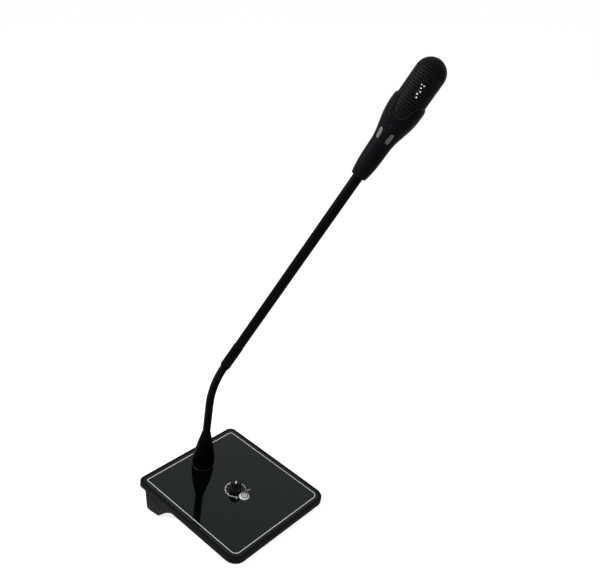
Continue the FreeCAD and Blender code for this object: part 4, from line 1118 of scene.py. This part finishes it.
@dataclass
class Knob:
    """The fluted volume knob with its pointer.

    The side's rows are a radius, a height above the panel and a share of the flutes' depth. The dish
    in the top has a radius and a depth for each row. Pointer places are measured from the axis.
    """

    side: tuple[Spot, ...] = (
        (0.001, 0.4, 0.0), (5.75, 0.4, 0.0), (6.0, 0.65, 0.0), (6.0, 2.3, 0.0), (5.8, 2.6, 0.0),
        (5.5, 3.0, 0.0), (5.5, 3.4, 0.4), (5.5, 3.9, 1.0), (5.5, 10.5, 1.0), (5.5, 11.5, 1.0),
    )
    top_rounding: float = 0.9
    top_steps: int = 5
    flute_fade: float = 0.16
    dish: tuple[Point, ...] = ((3.5, 0.05), (0.001, 0.25))
    flute_count: int = 14
    flute_depth: float = 0.5
    flute_shape: float = 0.8
    flute_steps: int = 12
    pointer_width: float = 1.2
    pointer_start: float = 1.6
    pointer_end: float = 4.95
    pointer_depth: float = 0.6
    pointer_height: float = 0.05
    rest_turn: float = math.radians(120)

    @property
    def top(self) -> float:
        """The height of the knob's top above the panel."""
        return self.side[-1][1] + self.top_rounding

    def grip(self) -> BMesh:
        """Model the fluted grip on its smooth skirt.

        Returns:
            The mesh.
        """
        levels = list(self.side)
        edge = self.side[-1][0] - self.top_rounding
        for k, t in enumerate(quarter(self.top_steps)[1:], 1):
            out, up = self.top_rounding * math.cos(t), self.top_rounding * math.sin(t)
            levels.append((edge + out, self.side[-1][1] + up, 1.0 - self.flute_fade * k))
        levels += [(radius, self.top - drop, 0.0) for radius, drop in self.dish]
        return stacked([self._fluted(*level) for level in levels])

    def _fluted(self, radius: float, height: float, share: float) -> Loop:
        """Go once round the knob.

        Args:
            radius: The radius outside the flutes.
            height: The height above the panel.
            share: The share of their full depth that the flutes have here.

        Returns:
            The loop's points.
        """
        ring = []
        for turn in turns_of(self.flute_steps * self.flute_count):
            cut = max(0.0, -math.cos(turn * self.flute_count)) ** self.flute_shape
            ring.append(polar(radius - cut * self.flute_depth * share, turn, height))
        return ring

    def pointer(self) -> BMesh:
        """Model the inlaid line on the knob's top.

        Returns:
            The mesh.
        """
        half = self.pointer_width / 2
        start = [polar(half, t) for t in np.linspace(math.pi, math.tau, 9)]
        path = [(x, self.pointer_start + y) for x, y in start]
        path += [(half, self.pointer_end), (-half, self.pointer_end)]
        heights = (self.top - self.pointer_depth, self.top + self.pointer_height)
        return stacked([[(x, y, z) for x, y in path] for z in heights])

    def build(self, bench: Bench, across: Place) -> None:
        """Add the knob, turned to where it rests.

        Args:
            bench: The bench that finishes pieces.
            across: The frame of the knob's axis, with x to the right.
        """
        ahead = Matrix.Rotation(self.rest_turn, 3, across.z) @ across.x
        place = squared(across.origin, across.z, ahead)
        bench.fit("knob_grip", self.grip(), "knob_black", place, "volume_knob",
                  ("volume_knob",), 50.0)
        bench.fit("knob_pointer", self.pointer(), "pointer_white", place, "volume_knob")
        bench.keep("zinc", "knob_shaft")


@dataclass
class Dial:
    """The printed scale round the knob. Each end mark has two ends and a width."""

    radius: float = 10.5
    sweep: float = 285.0
    line: float = 0.5
    arc_steps: int = 96
    tick_count: int = 11
    tick_length: float = 1.5
    tick_width: float = 0.45
    end_marks: tuple[tuple[Point, Point, float], ...] = (
        ((7.4, -8.5), (11.8, -9.1), 1.0), ((-6.2, -9.0), (-8.7, -9.4), 0.5),
    )
    print_height: float = 0.03

    def arc(self) -> BMesh:
        """Model the printed arc, open towards the button.

        Returns:
            The mesh.
        """
        half = math.radians(self.sweep / 2)
        turns = np.linspace(math.pi / 2 - half, math.pi / 2 + half, self.arc_steps + 1)
        return strip([polar(self.radius, t) for t in turns], self.line, self.print_height)

    def ticks(self, bench: Bench) -> BMesh:
        """Model the marks on the inside of the arc.

        Args:
            bench: The bench, whose tree repeats them.

        Returns:
            The mesh.
        """
        ends = [(self.radius, 0), (self.radius - self.tick_length, 0)]
        start, step = math.radians(90 - self.sweep / 2), math.radians(self.sweep / (self.tick_count - 1))
        mark = strip(ends, self.tick_width, self.print_height)
        return bench.repeated(mark, "panel_print", self.tick_count, start, step)

    def build(self, bench: Bench, place: Place) -> None:
        """Print the dial.

        Args:
            bench: The bench that finishes pieces.
            place: The frame of the knob's axis.
        """
        marks = together(strip((a, b), width, self.print_height) for a, b, width in self.end_marks)
        prints = {"dial_arc": self.arc(), "dial_ticks": self.ticks(bench), "dial_end_marks": marks}
        for name, bm in prints.items():
            bench.fit(name, bm, "panel_print", place, "base")


@dataclass
class Button:
    """The power button with its symbol, in its bezel. Heights are above the panel."""

    sides: int = 72
    bezel_radius: float = 5.2
    bezel_height: float = 0.6
    bezel_edge: float = 0.3
    bezel_foot: float = -3.0
    bezel_wall: float = 0.5
    play: float = 0.05
    radius: float = 4.4
    top: float = 1.3
    edge: float = 0.45
    edge_drop: float = 0.12
    dome_share: float = 0.55
    dome_rounding: float = 4.0
    flange_reach: float = 0.8
    flange_foot: float = -4.65
    flange_top: float = -3.65
    ring_radius: float = 3.1
    ring_line: float = 0.95
    arc_radius: float = 1.3
    arc_gap: float = math.radians(38)
    arc_line: float = 0.6
    bar: tuple[Point, Point] = ((0, 1.55), (0, 0.25))
    symbol_height: float = 0.16
    symbol_sink: float = 0.09

    def bezel(self) -> BMesh:
        """Model the rounded ring that the button sits in.

        Returns:
            The mesh.
        """
        inner, outer = self.radius + self.play, self.radius + self.play + self.bezel_wall
        rim = [(self.bezel_radius, 0.0), (self.bezel_radius, self.bezel_height, self.bezel_edge)]
        foot = [(inner, self.bezel_foot), (outer, self.bezel_foot), (outer, -0.01)]
        return turned(eased([*rim, (inner, self.bezel_height)], 5) + foot, self.sides)

    def cap(self) -> BMesh:
        """Model the slightly domed round cap with its flange.

        Returns:
            The mesh.
        """
        flange = self.radius + self.flange_reach
        corners = [
            (0.0, self.flange_foot), (flange, self.flange_foot), (flange, self.flange_top),
            (self.radius, self.flange_top), (self.radius, self.top - self.edge_drop, self.edge),
            (self.radius * self.dome_share, self.top, self.dome_rounding), (0.0, self.top),
        ]
        return turned(eased(corners, 6), self.sides)

    def symbol(self) -> BMesh:
        """Model the power sign: an open arc with a bar, inside a ring.

        Returns:
            The mesh.
        """
        turns = np.linspace(math.pi / 2 + self.arc_gap, math.pi / 2 + math.tau - self.arc_gap, 41)
        arc = [polar(self.arc_radius, t) for t in turns]
        lines = [strip(path, self.arc_line, self.symbol_height) for path in (arc, self.bar)]
        ring = strip(circle(self.ring_radius, 0, 0, 64), self.ring_line, self.symbol_height, closed=True)
        return together((*lines, ring))

    def build(self, bench: Bench, place: Place) -> None:
        """Add the button, its symbol and its bezel.

        Args:
            bench: The bench that finishes pieces.
            place: The frame of the button's axis, on the panel.
        """
        body, slot = "power_button", "button_plastic"
        top = place.raised((self.top - self.symbol_sink) * MM)
        bench.fit("button_ring", self.bezel(), "bezel_grey", place, "base",
                  ("button_bezel",))
        bench.fit("button_cap", self.cap(), "button_white", place, body, ("power_button",))
        bench.fit("button_symbol", self.symbol(), "print_dark", top, body)
        bench.keep("component_black", "switch_plunger")


@dataclass
class Base:
    """The housings, the parts inside them, the feet and the rear socket."""

    edge_rounding: float = 0.35
    small_rounding: float = 0.15
    cross_length: float = 2.8
    cross_width: float = 0.65
    cross_depth: float = 0.9

    def screws(self, panel: Place) -> BMesh:
        """Cut a cross recess in the head of each of the housing's four screws.

        Args:
            panel: The panel's frame, which the screws stand square to.

        Returns:
            The screws, in millimetres and in the part's own frame.
        """
        screws = merged_copy("housing_screws")
        to_panel = panel.matrix.inverted()
        spots = [to_panel @ Vector(p) / MM for p in points_of("housing_screws")]
        for size in ((self.cross_length, self.cross_width), (self.cross_width, self.cross_length)):
            tool = bmesh.new()
            shape = Matrix.Diagonal((*size, 2 * self.cross_depth, 1))
            for side, end in ((-1, -1), (-1, 1), (1, -1), (1, 1)):
                own = np.array([s for s in spots if s.x * side > 0 and s.y * end > 0])
                head = (own.min(axis=0) + own.max(axis=0)) / 2
                head[2] = own[:, 2].min()
                bmesh.ops.create_cube(tool, size=1.0, matrix=Matrix.Translation(head) @ shape)
            tool.transform(Matrix.Scale(1 / MM, 4) @ panel.matrix @ Matrix.Scale(MM, 4))
            screws = carved(screws, tool)
        return screws

    def build(self, bench: Bench, panel: Place) -> None:
        """Dress the base's nodes.

        Args:
            bench: The bench that finishes pieces.
            panel: The panel's frame.
        """
        bench.dressed("housing_matte", "housing_plastic", self.edge_rounding,
                      "top_housing", "bottom_cover", "controls_pan", "rear_housing")
        bench.dressed("foot_rubber", "rubber_black", self.small_rounding, "rear_foot", "front_foot")
        bench.dressed("nickel", "nickel", self.small_rounding, "jack_nut", "jack_washer", "jack_bush")
        bench.keep("component_black", "jack_body", "switch_body")
        bench.fit("housing_screws_dressed", self.screws(panel), "blackened_steel", None, "base",
                  ("housing_screws",))
        bench.keep("zinc", "ballast_plate", "board_screws", "potentiometer")
        bench.keep("zinc", "neck_stud", "neck_washer", "neck_lock_nut")
        bench.keep("laminate_green", "main_circuit_board")


# ---------------------------------------------------------------- neck


@dataclass
class Neck:
    """The rubber boot, the flexible coil, its ferrule and the straight tube.

    Profiles are (radius, height) points above the panel; the foot's bead is a radius, a height
    and a radius of its own.
    """

    sides: int = 96
    slim_sides: int = 72
    first_pivot: float = 47.2
    coil_radius: float = 4.05
    coil_pitch: float = 2.17
    groove_depth: float = 0.42
    rows_per_turn: int = 12
    columns: int = 57
    coil_in_boot: float = 2.0
    coil_in_ferrule: float = 4.0
    line_past_ferrule: float = 10.0
    blend_reach: float = 3.4
    boot_foot: tuple[Point, ...] = ((4.1, 0.0), (10.25, 0.0), (10.4, 0.08), (10.5, 0.3))
    boot_profile: tuple[Point, ...] = (
        (10.55, 0.5), (11.0, 2.4), (11.2, 5.5), (10.95, 9.5), (9.9, 17.0), (8.5, 24.5), (7.1, 31.0),
        (5.75, 36.5), (4.7, 41.3),
    )
    boot_lip: tuple[Point, ...] = ((4.6, 41.75), (4.45, 41.95), (4.27, 42.0), (4.1, 41.9))
    foot_bead: Spot = (10.75, 0.42, 0.24)
    boot_height: float = 42.0
    ferrule_length: float = 27.0
    ferrule_radius: float = 5.1
    ferrule_taper: float = 2.2
    ferrule_wall: float = 0.3
    play: float = 0.05
    tube_radius: float = 4.75
    tube_wall: float = 0.7
    tube_start: float = 13.0
    tube_stop: float = 239.2

    def boot(self) -> BMesh:
        """The bell-shaped boot with a thin rim at its foot and a rolled lip."""
        side = flowing(self.boot_profile, 0.8)
        return turned([*self.boot_foot, *side, *self.boot_lip], self.sides)

    def boot_bead(self) -> BMesh:
        """The thin shiny bead round the boot's foot."""
        middle, height, radius = self.foot_bead
        return turned(circle(radius, middle, height, 10), self.sides)

    def ferrule(self) -> BMesh:
        """Model the sleeve between the coil and the tube.

        Returns:
            The mesh.
        """
        bore = self.coil_radius + self.play
        corners = [
            (bore, 0.0),
            (bore + self.ferrule_wall, 0.0, 0.12),
            (self.ferrule_radius, self.ferrule_taper, 1.2),
            (self.ferrule_radius, self.ferrule_length, 0.3),
            (self.tube_radius, self.ferrule_length),
            (self.tube_radius, self.tube_start),
            (bore, self.tube_start),
        ]
        return turned(eased(corners, 5), self.slim_sides)

    def tube(self) -> BMesh:
        """Model the straight tube.

        Returns:
            The mesh.
        """
        inner, outer = self.tube_radius - self.tube_wall, self.tube_radius
        low, high = self.tube_start, self.tube_stop
        return turned(((inner, low), (outer, low), (outer, high), (inner, high)), self.slim_sides)

    def build(self, bench: Bench, panel: Place, arm: Place) -> None:
        """Add the boot, one length of coil across each joint, the ferrule and the tube.

        Args:
            bench: The bench that finishes pieces.
            panel: The panel's frame.
            arm: The arm's frame.
        """
        joints = [j for j in frame["joints"] if j["name"].startswith("neck_")]
        pivots = [Vector(j["pos_m"]) for j in joints]
        foot = pivots[0] - panel.z * self.first_pivot * MM
        stand = Place(foot, panel.z, panel.x)
        bench.fit("boot_bell", self.boot(), "boot_rubber", stand, "base", ("neck_boot",))
        bench.fit("boot_bead", self.boot_bead(), "petal_edge", stand, "base")
        far = arm.raised(self.line_past_ferrule * MM).origin
        middle = flowing([tuple(p / MM) for p in (foot, *pivots, arm.origin, far)], 0.5)
        ends = self._ends(pivots, arm)
        side = (pivots[1] - pivots[0]).cross(arm.z).normalized()
        for k, joint in enumerate(joints):
            stands_for = [f"gooseneck_link_{k}"] if k else ["gooseneck_root"]
            stands_for += ["gooseneck_tip"] if k == len(joints) - 1 else []
            values = {
                "Path": self._curve(middle), "Side": side, "Start": ends[k], "Stop": ends[k + 1],
                "Radius": self.coil_radius, "Pitch": self.coil_pitch, "Depth": self.groove_depth,
                "Rows": round((ends[k + 1] - ends[k]) / self.coil_pitch * self.rows_per_turn) + 1,
                "Columns": self.columns, "Material": bench.material("coil_black"),
            }
            bench.fit(f"neck_coil_{k + 1}", bench.coil.grown(values), "coil_black", None,
                      self._across(), stands_for, 60.0)
        body, slot = "head", "tube_enamel"
        bench.fit("arm_ferrule", self.ferrule(), "tube_gloss", arm, body, ("lower_ferrule",))
        bench.fit("arm_tube", self.tube(), "tube_black", arm, body, ("rigid_tube",))

    def _ends(self, pivots: list[Vector], arm: Place) -> list[float]:
        """Divide the coil halfway between its joints.

        Args:
            pivots: The joints' places.
            arm: The arm's frame.

        Returns:
            Where each length starts and the last one stops along the neck, in millimetres.
        """
        reach = [self.first_pivot]
        for a, b in zip(pivots, pivots[1:]):
            reach.append(reach[-1] + (b - a).length / MM)
        middles = [(a + b) / 2 for a, b in zip(reach, reach[1:])]
        last = reach[-1] + (arm.origin - pivots[-1]).length / MM
        return [self.boot_height - self.coil_in_boot, *middles, last + self.coil_in_ferrule]

    def _across(self) -> Callable[[Object], None]:
        """Prepare a piece that spans a joint, left in the part's own frame.

        Returns:
            What bakes the piece's place into its mesh, without tying it to a body.
        """
        return lambda piece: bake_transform(piece)

    @staticmethod
    def _curve(points: Loop) -> Object:
        """Make a curve for a tree to read.

        Args:
            points: Its points.

        Returns:
            The curve.
        """
        data = bpy.data.curves.new("centre_line", "CURVE")
        data.dimensions = "3D"
        spline = data.splines.new("POLY")
        spline.points.add(len(points) - 1)
        for point, spot in zip(spline.points, points):
            point.co = (*spot, 1)
        return linked("centre_line", data)


# ---------------------------------------------------------------- head


@dataclass
class Shell:
    """The moulded head: tail, waist with windows, and a collar cut down into two petals.

    Heights are above the shell's foot, and the inside runs down from the seat. The notches' middles
    are at angles of 0 and pi; the near and far marks are degrees away from there.
    """

    profile: tuple[Point, ...] = (
        (7.1, 0.7), (7.7, 4.0), (8.3, 8.0), (8.78, 13.0), (9.15, 20.0), (9.3, 27.0), (9.55, 34.0),
        (10.25, 39.0), (11.3, 44.0), (12.6, 49.3), (13.9, 55.0), (14.75, 61.0), (15.08, 66.5), (15.0, 71.0),
        (14.8, 76.0),
    )
    foot: tuple[Point, ...] = ((4.8, 0.0), (6.4, 0.0), (6.9, 0.2))
    bore: float = 13.52
    seat: float = 54.5
    inside: tuple[Point, ...] = ((8.35, 54.5), (8.35, 32.0), (7.2, 32.0), (7.2, 15.0), (4.8, 15.0))
    segments: int = 288
    split: float = 46.0
    rows: int = 34
    row_crowding: float = 1.25
    root: float = 59.0
    crown: float = 75.0
    notch_near: float = 14.0
    notch_far: float = 52.0
    bowl: float = 0.9
    crest: float = 0.5
    crest_waves: float = 2.2
    rim: float = 0.45
    rim_steps: int = 4
    rim_lean: float = 0.5
    rim_inner_drop: float = 0.15
    bead_radius: float = 0.26
    bead_inset: float = 0.12
    bead_sink: float = 0.06
    scoop_depth: float = 0.9
    scoop_width: float = 3.2

    def rim_height(self, turn: float) -> float:
        """Work out how high the collar stands at an angle from a notch's middle.

        Args:
            turn: The angle round the head, in radians.

        Returns:
            The height of the rim.
        """
        away = abs((math.degrees(turn) + 90) % 180 - 90)
        share = min(1.0, max(0.0, (away - self.notch_near) / (self.notch_far - self.notch_near)))
        smooth = share * share * share * (share * (6 * share - 15) + 10)
        bowl = self.bowl * (1 - math.cos(min(away, self.notch_near) / self.notch_near * math.pi)) / 2
        crest = math.cos(math.radians(90 - away) * self.crest_waves) if away > self.notch_far else 0.0
        rise = self.crown - self.root - self.bowl - self.crest
        return self.root + bowl + rise * smooth + self.crest * max(0.0, crest)

    def outside(self) -> tuple[list[float], list[float]]:
        """The heights and the radii of closely spaced points on the outside."""
        table = flowing(self.profile, 0.5)
        return [z for _, z in table], [r for r, _ in table]

    def mesh(self) -> BMesh:
        """Model the whole shell, with neither windows nor bead.

        Returns:
            The mesh.
        """
        waist = [(r, z) for z, r in zip(*self.outside()) if z < self.split]
        loops = [hoop(r, z, self.segments) for r, z in (*self.foot, *waist)]
        loops += self._collar()
        loops += self._rim(loops[-1])
        loops += [hoop(r, z, self.segments) for r, z in ((self.bore, self.seat), *self.inside)]
        return stacked(loops, closed=True)

    def _collar(self) -> list[Loop]:
        """Lay out the outside from the split up to the rim, scooped a little along the notches' edges.

        Returns:
            The loops, from the bottom up.
        """
        heights, radii = self.outside()
        turns = turns_of(self.segments)
        rounds = np.linspace(-math.pi, 3 * math.pi, 2 * self.segments)
        edge_x, edge_z = self.bore * rounds, np.array([self.rim_height(t) for t in rounds])
        loops = []
        for k in range(self.rows + 1):
            share = 1 - (1 - k / self.rows) ** self.row_crowding
            loop = []
            for turn in turns:
                z = self.split + (self.rim_height(turn) - self.rim - self.split) * share
                away = float(np.min(np.hypot(edge_x - self.bore * turn, edge_z - z)))
                near = max(0.0, 1 - away / self.scoop_width)
                r = float(np.interp(z, heights, radii)) - self.scoop_depth * near * near
                loop.append(polar(r, turn, z))
            loops.append(loop)
        return loops

    def _rim(self, below: Loop) -> list[Loop]:
        """Round the collar's top edge over to its bore.

        Args:
            below: The collar's last loop.

        Returns:
            The loops, with the bore's edge as the last one.
        """
        tops = [(t, self.rim_height(t)) for t in turns_of(self.segments)]
        loops = []
        for lift in quarter(self.rim_steps)[1:]:
            inward = self.rim * (1 - math.cos(lift)) * self.rim_lean
            down = self.rim * (1 - math.sin(lift))
            radii = [math.hypot(x, y) - inward for x, y, _ in below]
            loops.append([polar(r, t, top - down) for r, (t, top) in zip(radii, tops)])
        return loops + [[polar(self.bore, t, top - self.rim_inner_drop) for t, top in tops]]

    def bead(self) -> BMesh:
        """Model the thin polished bead that runs along the petals' rim.

        Returns:
            The mesh.
        """
        middle = self.bore + self.bead_radius + self.bead_inset
        rings = []
        for turn in turns_of(self.segments):
            section = circle(self.bead_radius, middle, self.rim_height(turn) - self.bead_sink, 10)
            rings.append([polar(r, turn, z) for r, z in section])
        return stacked(rings, closed=True)


@dataclass
class Windows:
    """The oval windows round the waist and their frosted lenses.

    A lens's steps are a share of its outline and how far they lie below its middle.
    """

    count: int = 6
    length: float = 10.0
    width: float = 4.2
    centre: float = 41.0
    depth: Point = (7.8, 14.0)
    play: float = 0.04
    lens_back: float = 8.2
    lens_recess: float = 0.25
    lens_steps: tuple[Point, ...] = ((1.0, 0.3), (0.97, 0.12), (0.9, 0.03), (0.6, 0.0), (0.25, 0.0))

    def oval(self, margin: float, roundness: float) -> list[Point]:
        """A window's outline, smaller by a margin, with ends nearly as round as can be."""
        half = self.width / 2 - margin
        return rounded_rectangle(2 * half, self.length - 2 * margin, (half * roundness,) * 4, 8)

    def cutter(self) -> BMesh:
        """One window as a prism along x."""
        outline = self.oval(0.0, 0.98)
        return stacked([[(x, u, self.centre + v) for u, v in outline] for x in self.depth])

    def lens(self, shell: Shell) -> BMesh:
        """One lens: its face follows the shell's outside, a little below it, with a soft edge.

        Args:
            shell: The shell.

        Returns:
            The mesh.
        """
        heights, radii = shell.outside()
        edge = self.oval(self.play, 0.96)
        loops = [[(self.lens_back, u, self.centre + v) for u, v in edge]]
        for share, drop in self.lens_steps:
            loop = []
            for u, v in ((u * share, v * share) for u, v in edge):
                radius = float(np.interp(self.centre + v, heights, radii)) - self.lens_recess - drop
                loop.append((math.sqrt(radius * radius - u * u), u, self.centre + v))
            loops.append(loop)
        return stacked(loops)

    def all_round(self, bm: BMesh, bench: Bench) -> BMesh:
        """A window's mesh repeated round the head, with a gap between two of them at x."""
        step = math.tau / self.count
        return bench.repeated(bm, "lens_frost", self.count, step / 2, step)


@dataclass
class Cap:
    """The perforated cap and the cloth inside it.

    Heights are above the shell's foot. The wall has one row of corners a little above its seat and
    one below the round end's centre. Each gap in the cloth is an angle in degrees, a width, and its
    lower and upper ends.
    """

    radius: float = 13.36
    wall: float = 0.7
    seat: float = 54.5
    top: float = 113.05
    low_row: float = 3.0
    high_row: float = 20.0
    steps: int = 24
    sides: int = 96
    hole_radius: float = 0.74
    hole_depth: float = 3.0
    hole_sides: int = 10
    hole_rows_from: float = 59.6
    hole_pitch: float = 2.6
    hole_turn: float = math.radians(5.6)
    holes_around: int = 32
    fewest_holes: int = 5
    bare_above: float = math.radians(86)
    cloth_play: float = 0.15
    cloth_thickness: float = 0.4
    cloth_foot: float = 0.5
    cloth_steps: int = 12
    cloth_gaps: tuple[tuple[float, float, float, float], ...] = (
        (14.0, 2.5, 79.0, 89.5), (10.8, 3.9, 89.4, 92.2), (185.5, 3.6, 76.5, 90.0),
    )
    gap_depth: Point = (8.0, 20.0)

    @property
    def centre(self) -> float:
        """The height of the round end's centre."""
        return self.top - self.radius

    def thimble(self, outer: float, inner: float, rows: Sequence[float], steps: int) -> BMesh:
        """Turn a tube with a round end.

        Args:
            outer: The radius of its outside.
            inner: The radius of its inside.
            rows: The heights of the wall's rows on the outside, from its foot up.
            steps: How many straight pieces make each quarter circle.

        Returns:
            The mesh.
        """
        profile = [(outer, z) for z in rows]
        profile += [(outer * math.cos(t), self.centre + outer * math.sin(t)) for t in quarter(steps)[:-1]]
        profile += [(0.0, self.centre + outer), (0.0, self.centre + inner)]
        profile += [(inner * math.cos(t), self.centre + inner * math.sin(t)) for t in quarter(steps)[-2::-1]]
        bm = turned([*profile, (inner, rows[0])], self.sides)
        bmesh.ops.recalc_face_normals(bm, faces=bm.faces[:])
        return bm

    def blank(self) -> BMesh:
        """The cap before it is perforated."""
        rows = (self.seat, self.seat + self.low_row, self.centre - self.high_row)
        return self.thimble(self.radius, self.radius - self.wall, rows, self.steps)

    def lining(self) -> BMesh:
        """Model the thin dark cloth inside the cap, left open in front and behind over a short stretch.

        Returns:
            The mesh.
        """
        outer = self.radius - self.wall - self.cloth_play
        inner = outer - self.cloth_thickness
        sleeve = self.thimble(outer, inner, (self.seat + self.cloth_foot,), self.cloth_steps)
        near, far = self.gap_depth
        for turn, width, low, high in self.cloth_gaps:
            half = width / 2
            section = ((near, -half), (far, -half), (far, half), (near, half))
            gap = stacked([[(x, y, z) for x, y in section] for z in (low, high)])
            gap.transform(Matrix.Rotation(math.radians(turn), 4, "Z"))
            bmesh.ops.recalc_face_normals(gap, faces=gap.faces[:])
            sleeve = carved(sleeve, gap)
        return sleeve

    def spots(self) -> Object:
        """Place the middle of each hole of the cap, with the direction that it faces.

        Returns:
            A point for each hole.
        """
        rows = int((self.centre - self.hole_rows_from) / self.hole_pitch) + 1
        heights = [self.hole_rows_from + row * self.hole_pitch for row in range(rows + 1)]
        rings = [(self.holes_around, self.hole_turn, 0.0, height) for height in heights[:-1]]
        lift = (heights[-1] - self.centre) / self.radius
        while lift < self.bare_above:
            count = max(self.fewest_holes, round(self.holes_around * math.cos(lift)))
            rings.append((count, 0.0, lift, self.centre))
            lift += self.hole_pitch / self.radius
        places, ways = [], []
        for row, (count, start, lift, height) in enumerate(rings):
            for k in range(count):
                turn = start + math.tau * (k + row % 2 / 2) / count
                ways.append(Vector(polar(math.cos(lift), turn, math.sin(lift))))
                places.append(ways[-1] * (self.radius - self.wall / 2) + Vector((0, 0, height)))
        mesh = bpy.data.meshes.new("spots")
        mesh.from_pydata(places, [], [])
        outward = mesh.attributes.new("outward", "FLOAT_VECTOR", "POINT")
        outward.data.foreach_set("vector", [c for way in ways for c in way])
        return linked("spots", mesh)

    def mesh(self, bench: Bench) -> BMesh:
        """Model the perforated cap.

        Args:
            bench: The bench, whose tree cuts the holes.

        Returns:
            The mesh.
        """
        values = {"Spots": self.spots(), "Hole radius": self.hole_radius, "Hole depth": self.hole_depth,
                  "Hole sides": self.hole_sides, "Material": bench.material("grille_black")}
        return bench.perforation.grown(values, self.blank())


@dataclass
class Head:
    """The head: its shell, windows and cap, and what is inside."""

    shell: Shell = field(default_factory=Shell)
    windows: Windows = field(default_factory=Windows)
    cap: Cap = field(default_factory=Cap)

    def build(self, bench: Bench, arm: Place) -> None:
        """Add the head's pieces.

        Args:
            bench: The bench that finishes pieces.
            arm: The arm's frame.
        """
        place = arm.raised(arm.foot_of("head_shell"))
        shell = carved(self.shell.mesh(), self.windows.all_round(self.windows.cutter(), bench))
        lenses = self.windows.all_round(self.windows.lens(self.shell), bench)
        bench.fit("head_moulding", shell, "head_black", place, "head", ("head_shell",), 50.0)
        bench.fit("head_bead", self.shell.bead(), "petal_edge", place, "head")
        bench.fit("head_lenses", lenses, "lens_frost", place, "head", ("light_ring",))
        bench.fit("head_cap", self.cap.mesh(bench), "grille_black", place, "head",
                  ("grille",), 30.0)
        bench.fit("head_lining", self.cap.lining(), "lining_cloth", place, "head")
        inner = {
            "capsule_carrier": "foot_rubber", "microphone_capsule": "nickel", "set_screw": "blackened_steel",
            "led_board": "laminate_green", "leds": "lamp_clear",
        }
        for node, finish in inner.items():
            bench.keep(finish, node)


# ---------------------------------------------------------------- studio


@dataclass
class Studio:
    """A plain white table, soft light and the camera.

    Places and directions are from the middle of the panel, in metres.
    """

    eye: Spot = (-0.42978, -0.45642, 0.45055)
    ahead: Spot = (0.70919, 0.60695, -0.35869)
    lens: float = 44.39
    sensor_width: float = 36.0
    clip_start: float = 0.01
    floor_size: float = 40.0
    floor_grey: float = 0.7
    floor_roughness: float = 0.9
    floor_glow: float = 0.82
    fill: float = 0.3
    key_power: float = 16.0
    key_size: float = 0.7
    key_place: Spot = (-0.75, 0.55, 0.95)
    key_aim: Spot = (0.05, 0.05, 0.2)

    def camera(self, panel: Place) -> None:
        """Set the camera up in front of the base, to its left.

        Args:
            panel: The panel's frame.
        """
        data = bpy.data.cameras.new("camera")
        data.lens = self.lens
        data.sensor_width = self.sensor_width
        data.clip_start = self.clip_start
        view = linked("camera", data)
        view.location = panel.origin + Vector(self.eye)
        view.rotation_euler = Vector(self.ahead).to_track_quat("-Z", "Y").to_euler()
        bpy.context.scene.camera = view

    def world(self) -> None:
        """Light everything evenly, and show plain white behind it."""
        world = bpy.data.worlds.new("studio")
        world.use_nodes = True
        tree = world.node_tree
        plain = tree.nodes["Background"]
        feed(tree, plain, {"Color": (1, 1, 1, 1), "Strength": self.fill})
        white = add_node(tree, "ShaderNodeBackground", {"Color": (1, 1, 1, 1)})
        only_directly(tree, tree.nodes["World Output"], white, plain)
        bpy.context.scene.world = world

    def floor(self) -> None:
        """Lay the pale floor under the part."""
        half = self.floor_size / 2
        bm = bmesh.new()
        bm.faces.new(ring_of(bm, [(-half, -half, 0), (half, -half, 0), (half, half, 0), (-half, half, 0)]))
        floor = linked("floor", as_mesh("floor", bm))
        material = bpy.data.materials.new("floor")
        material.use_nodes = True
        tree = material.node_tree
        surface = tree.nodes["Principled BSDF"]
        grey = {"Base Color": (*[self.floor_grey] * 3, 1), "Roughness": self.floor_roughness}
        feed(tree, surface, grey | {"Specular IOR Level": 0.0})
        glow = add_node(tree, "ShaderNodeEmission", {"Strength": self.floor_glow})
        both = add_node(tree, "ShaderNodeAddShader", {0: surface.outputs[0], 1: glow.outputs[0]})
        only_directly(tree, tree.nodes["Material Output"], both, surface)
        floor.data.materials.append(material)

    def lamps(self, panel: Place) -> None:
        """Hang one large soft lamp to the left of the camera and above it.

        Args:
            panel: The panel's frame.
        """
        data = bpy.data.lights.new("key", "AREA")
        data.shape = "SQUARE"
        data.size = self.key_size
        data.energy = self.key_power
        lamp = linked("key", data)
        lamp.location = panel.origin + Vector(self.key_place)
        aim = panel.origin + Vector(self.key_aim) - lamp.location
        lamp.rotation_euler = aim.to_track_quat("-Z", "Y").to_euler()

    def build(self, panel: Place) -> None:
        """Set up the whole studio.

        Args:
            panel: The panel's frame.
        """
        self.camera(panel)
        self.world()
        self.floor()
        self.lamps(panel)
        bpy.context.scene.view_settings.view_transform = "Standard"


# ---------------------------------------------------------------- the part


def main() -> None:
    """Dress the part and light it."""
    logging.basicConfig(level=logging.INFO, format="%(name)s %(message)s")
    layout = Panel()
    panel = panel_place(layout.thickness * MM)
    arm = arm_place()
    knob_axis = panel.forward(layout.knob_forward)
    Studio().build(panel)
    bench = Bench()
    layout.build(bench, panel)
    Knob().build(bench, knob_axis)
    Dial().build(bench, knob_axis)
    Button().build(bench, panel.forward(layout.button_forward))
    Base().build(bench, panel)
    Neck().build(bench, panel, arm)
    Head().build(bench, arm)
    log.info("%d pieces", bench.pieces)


if __name__ == "__main__":
    main()
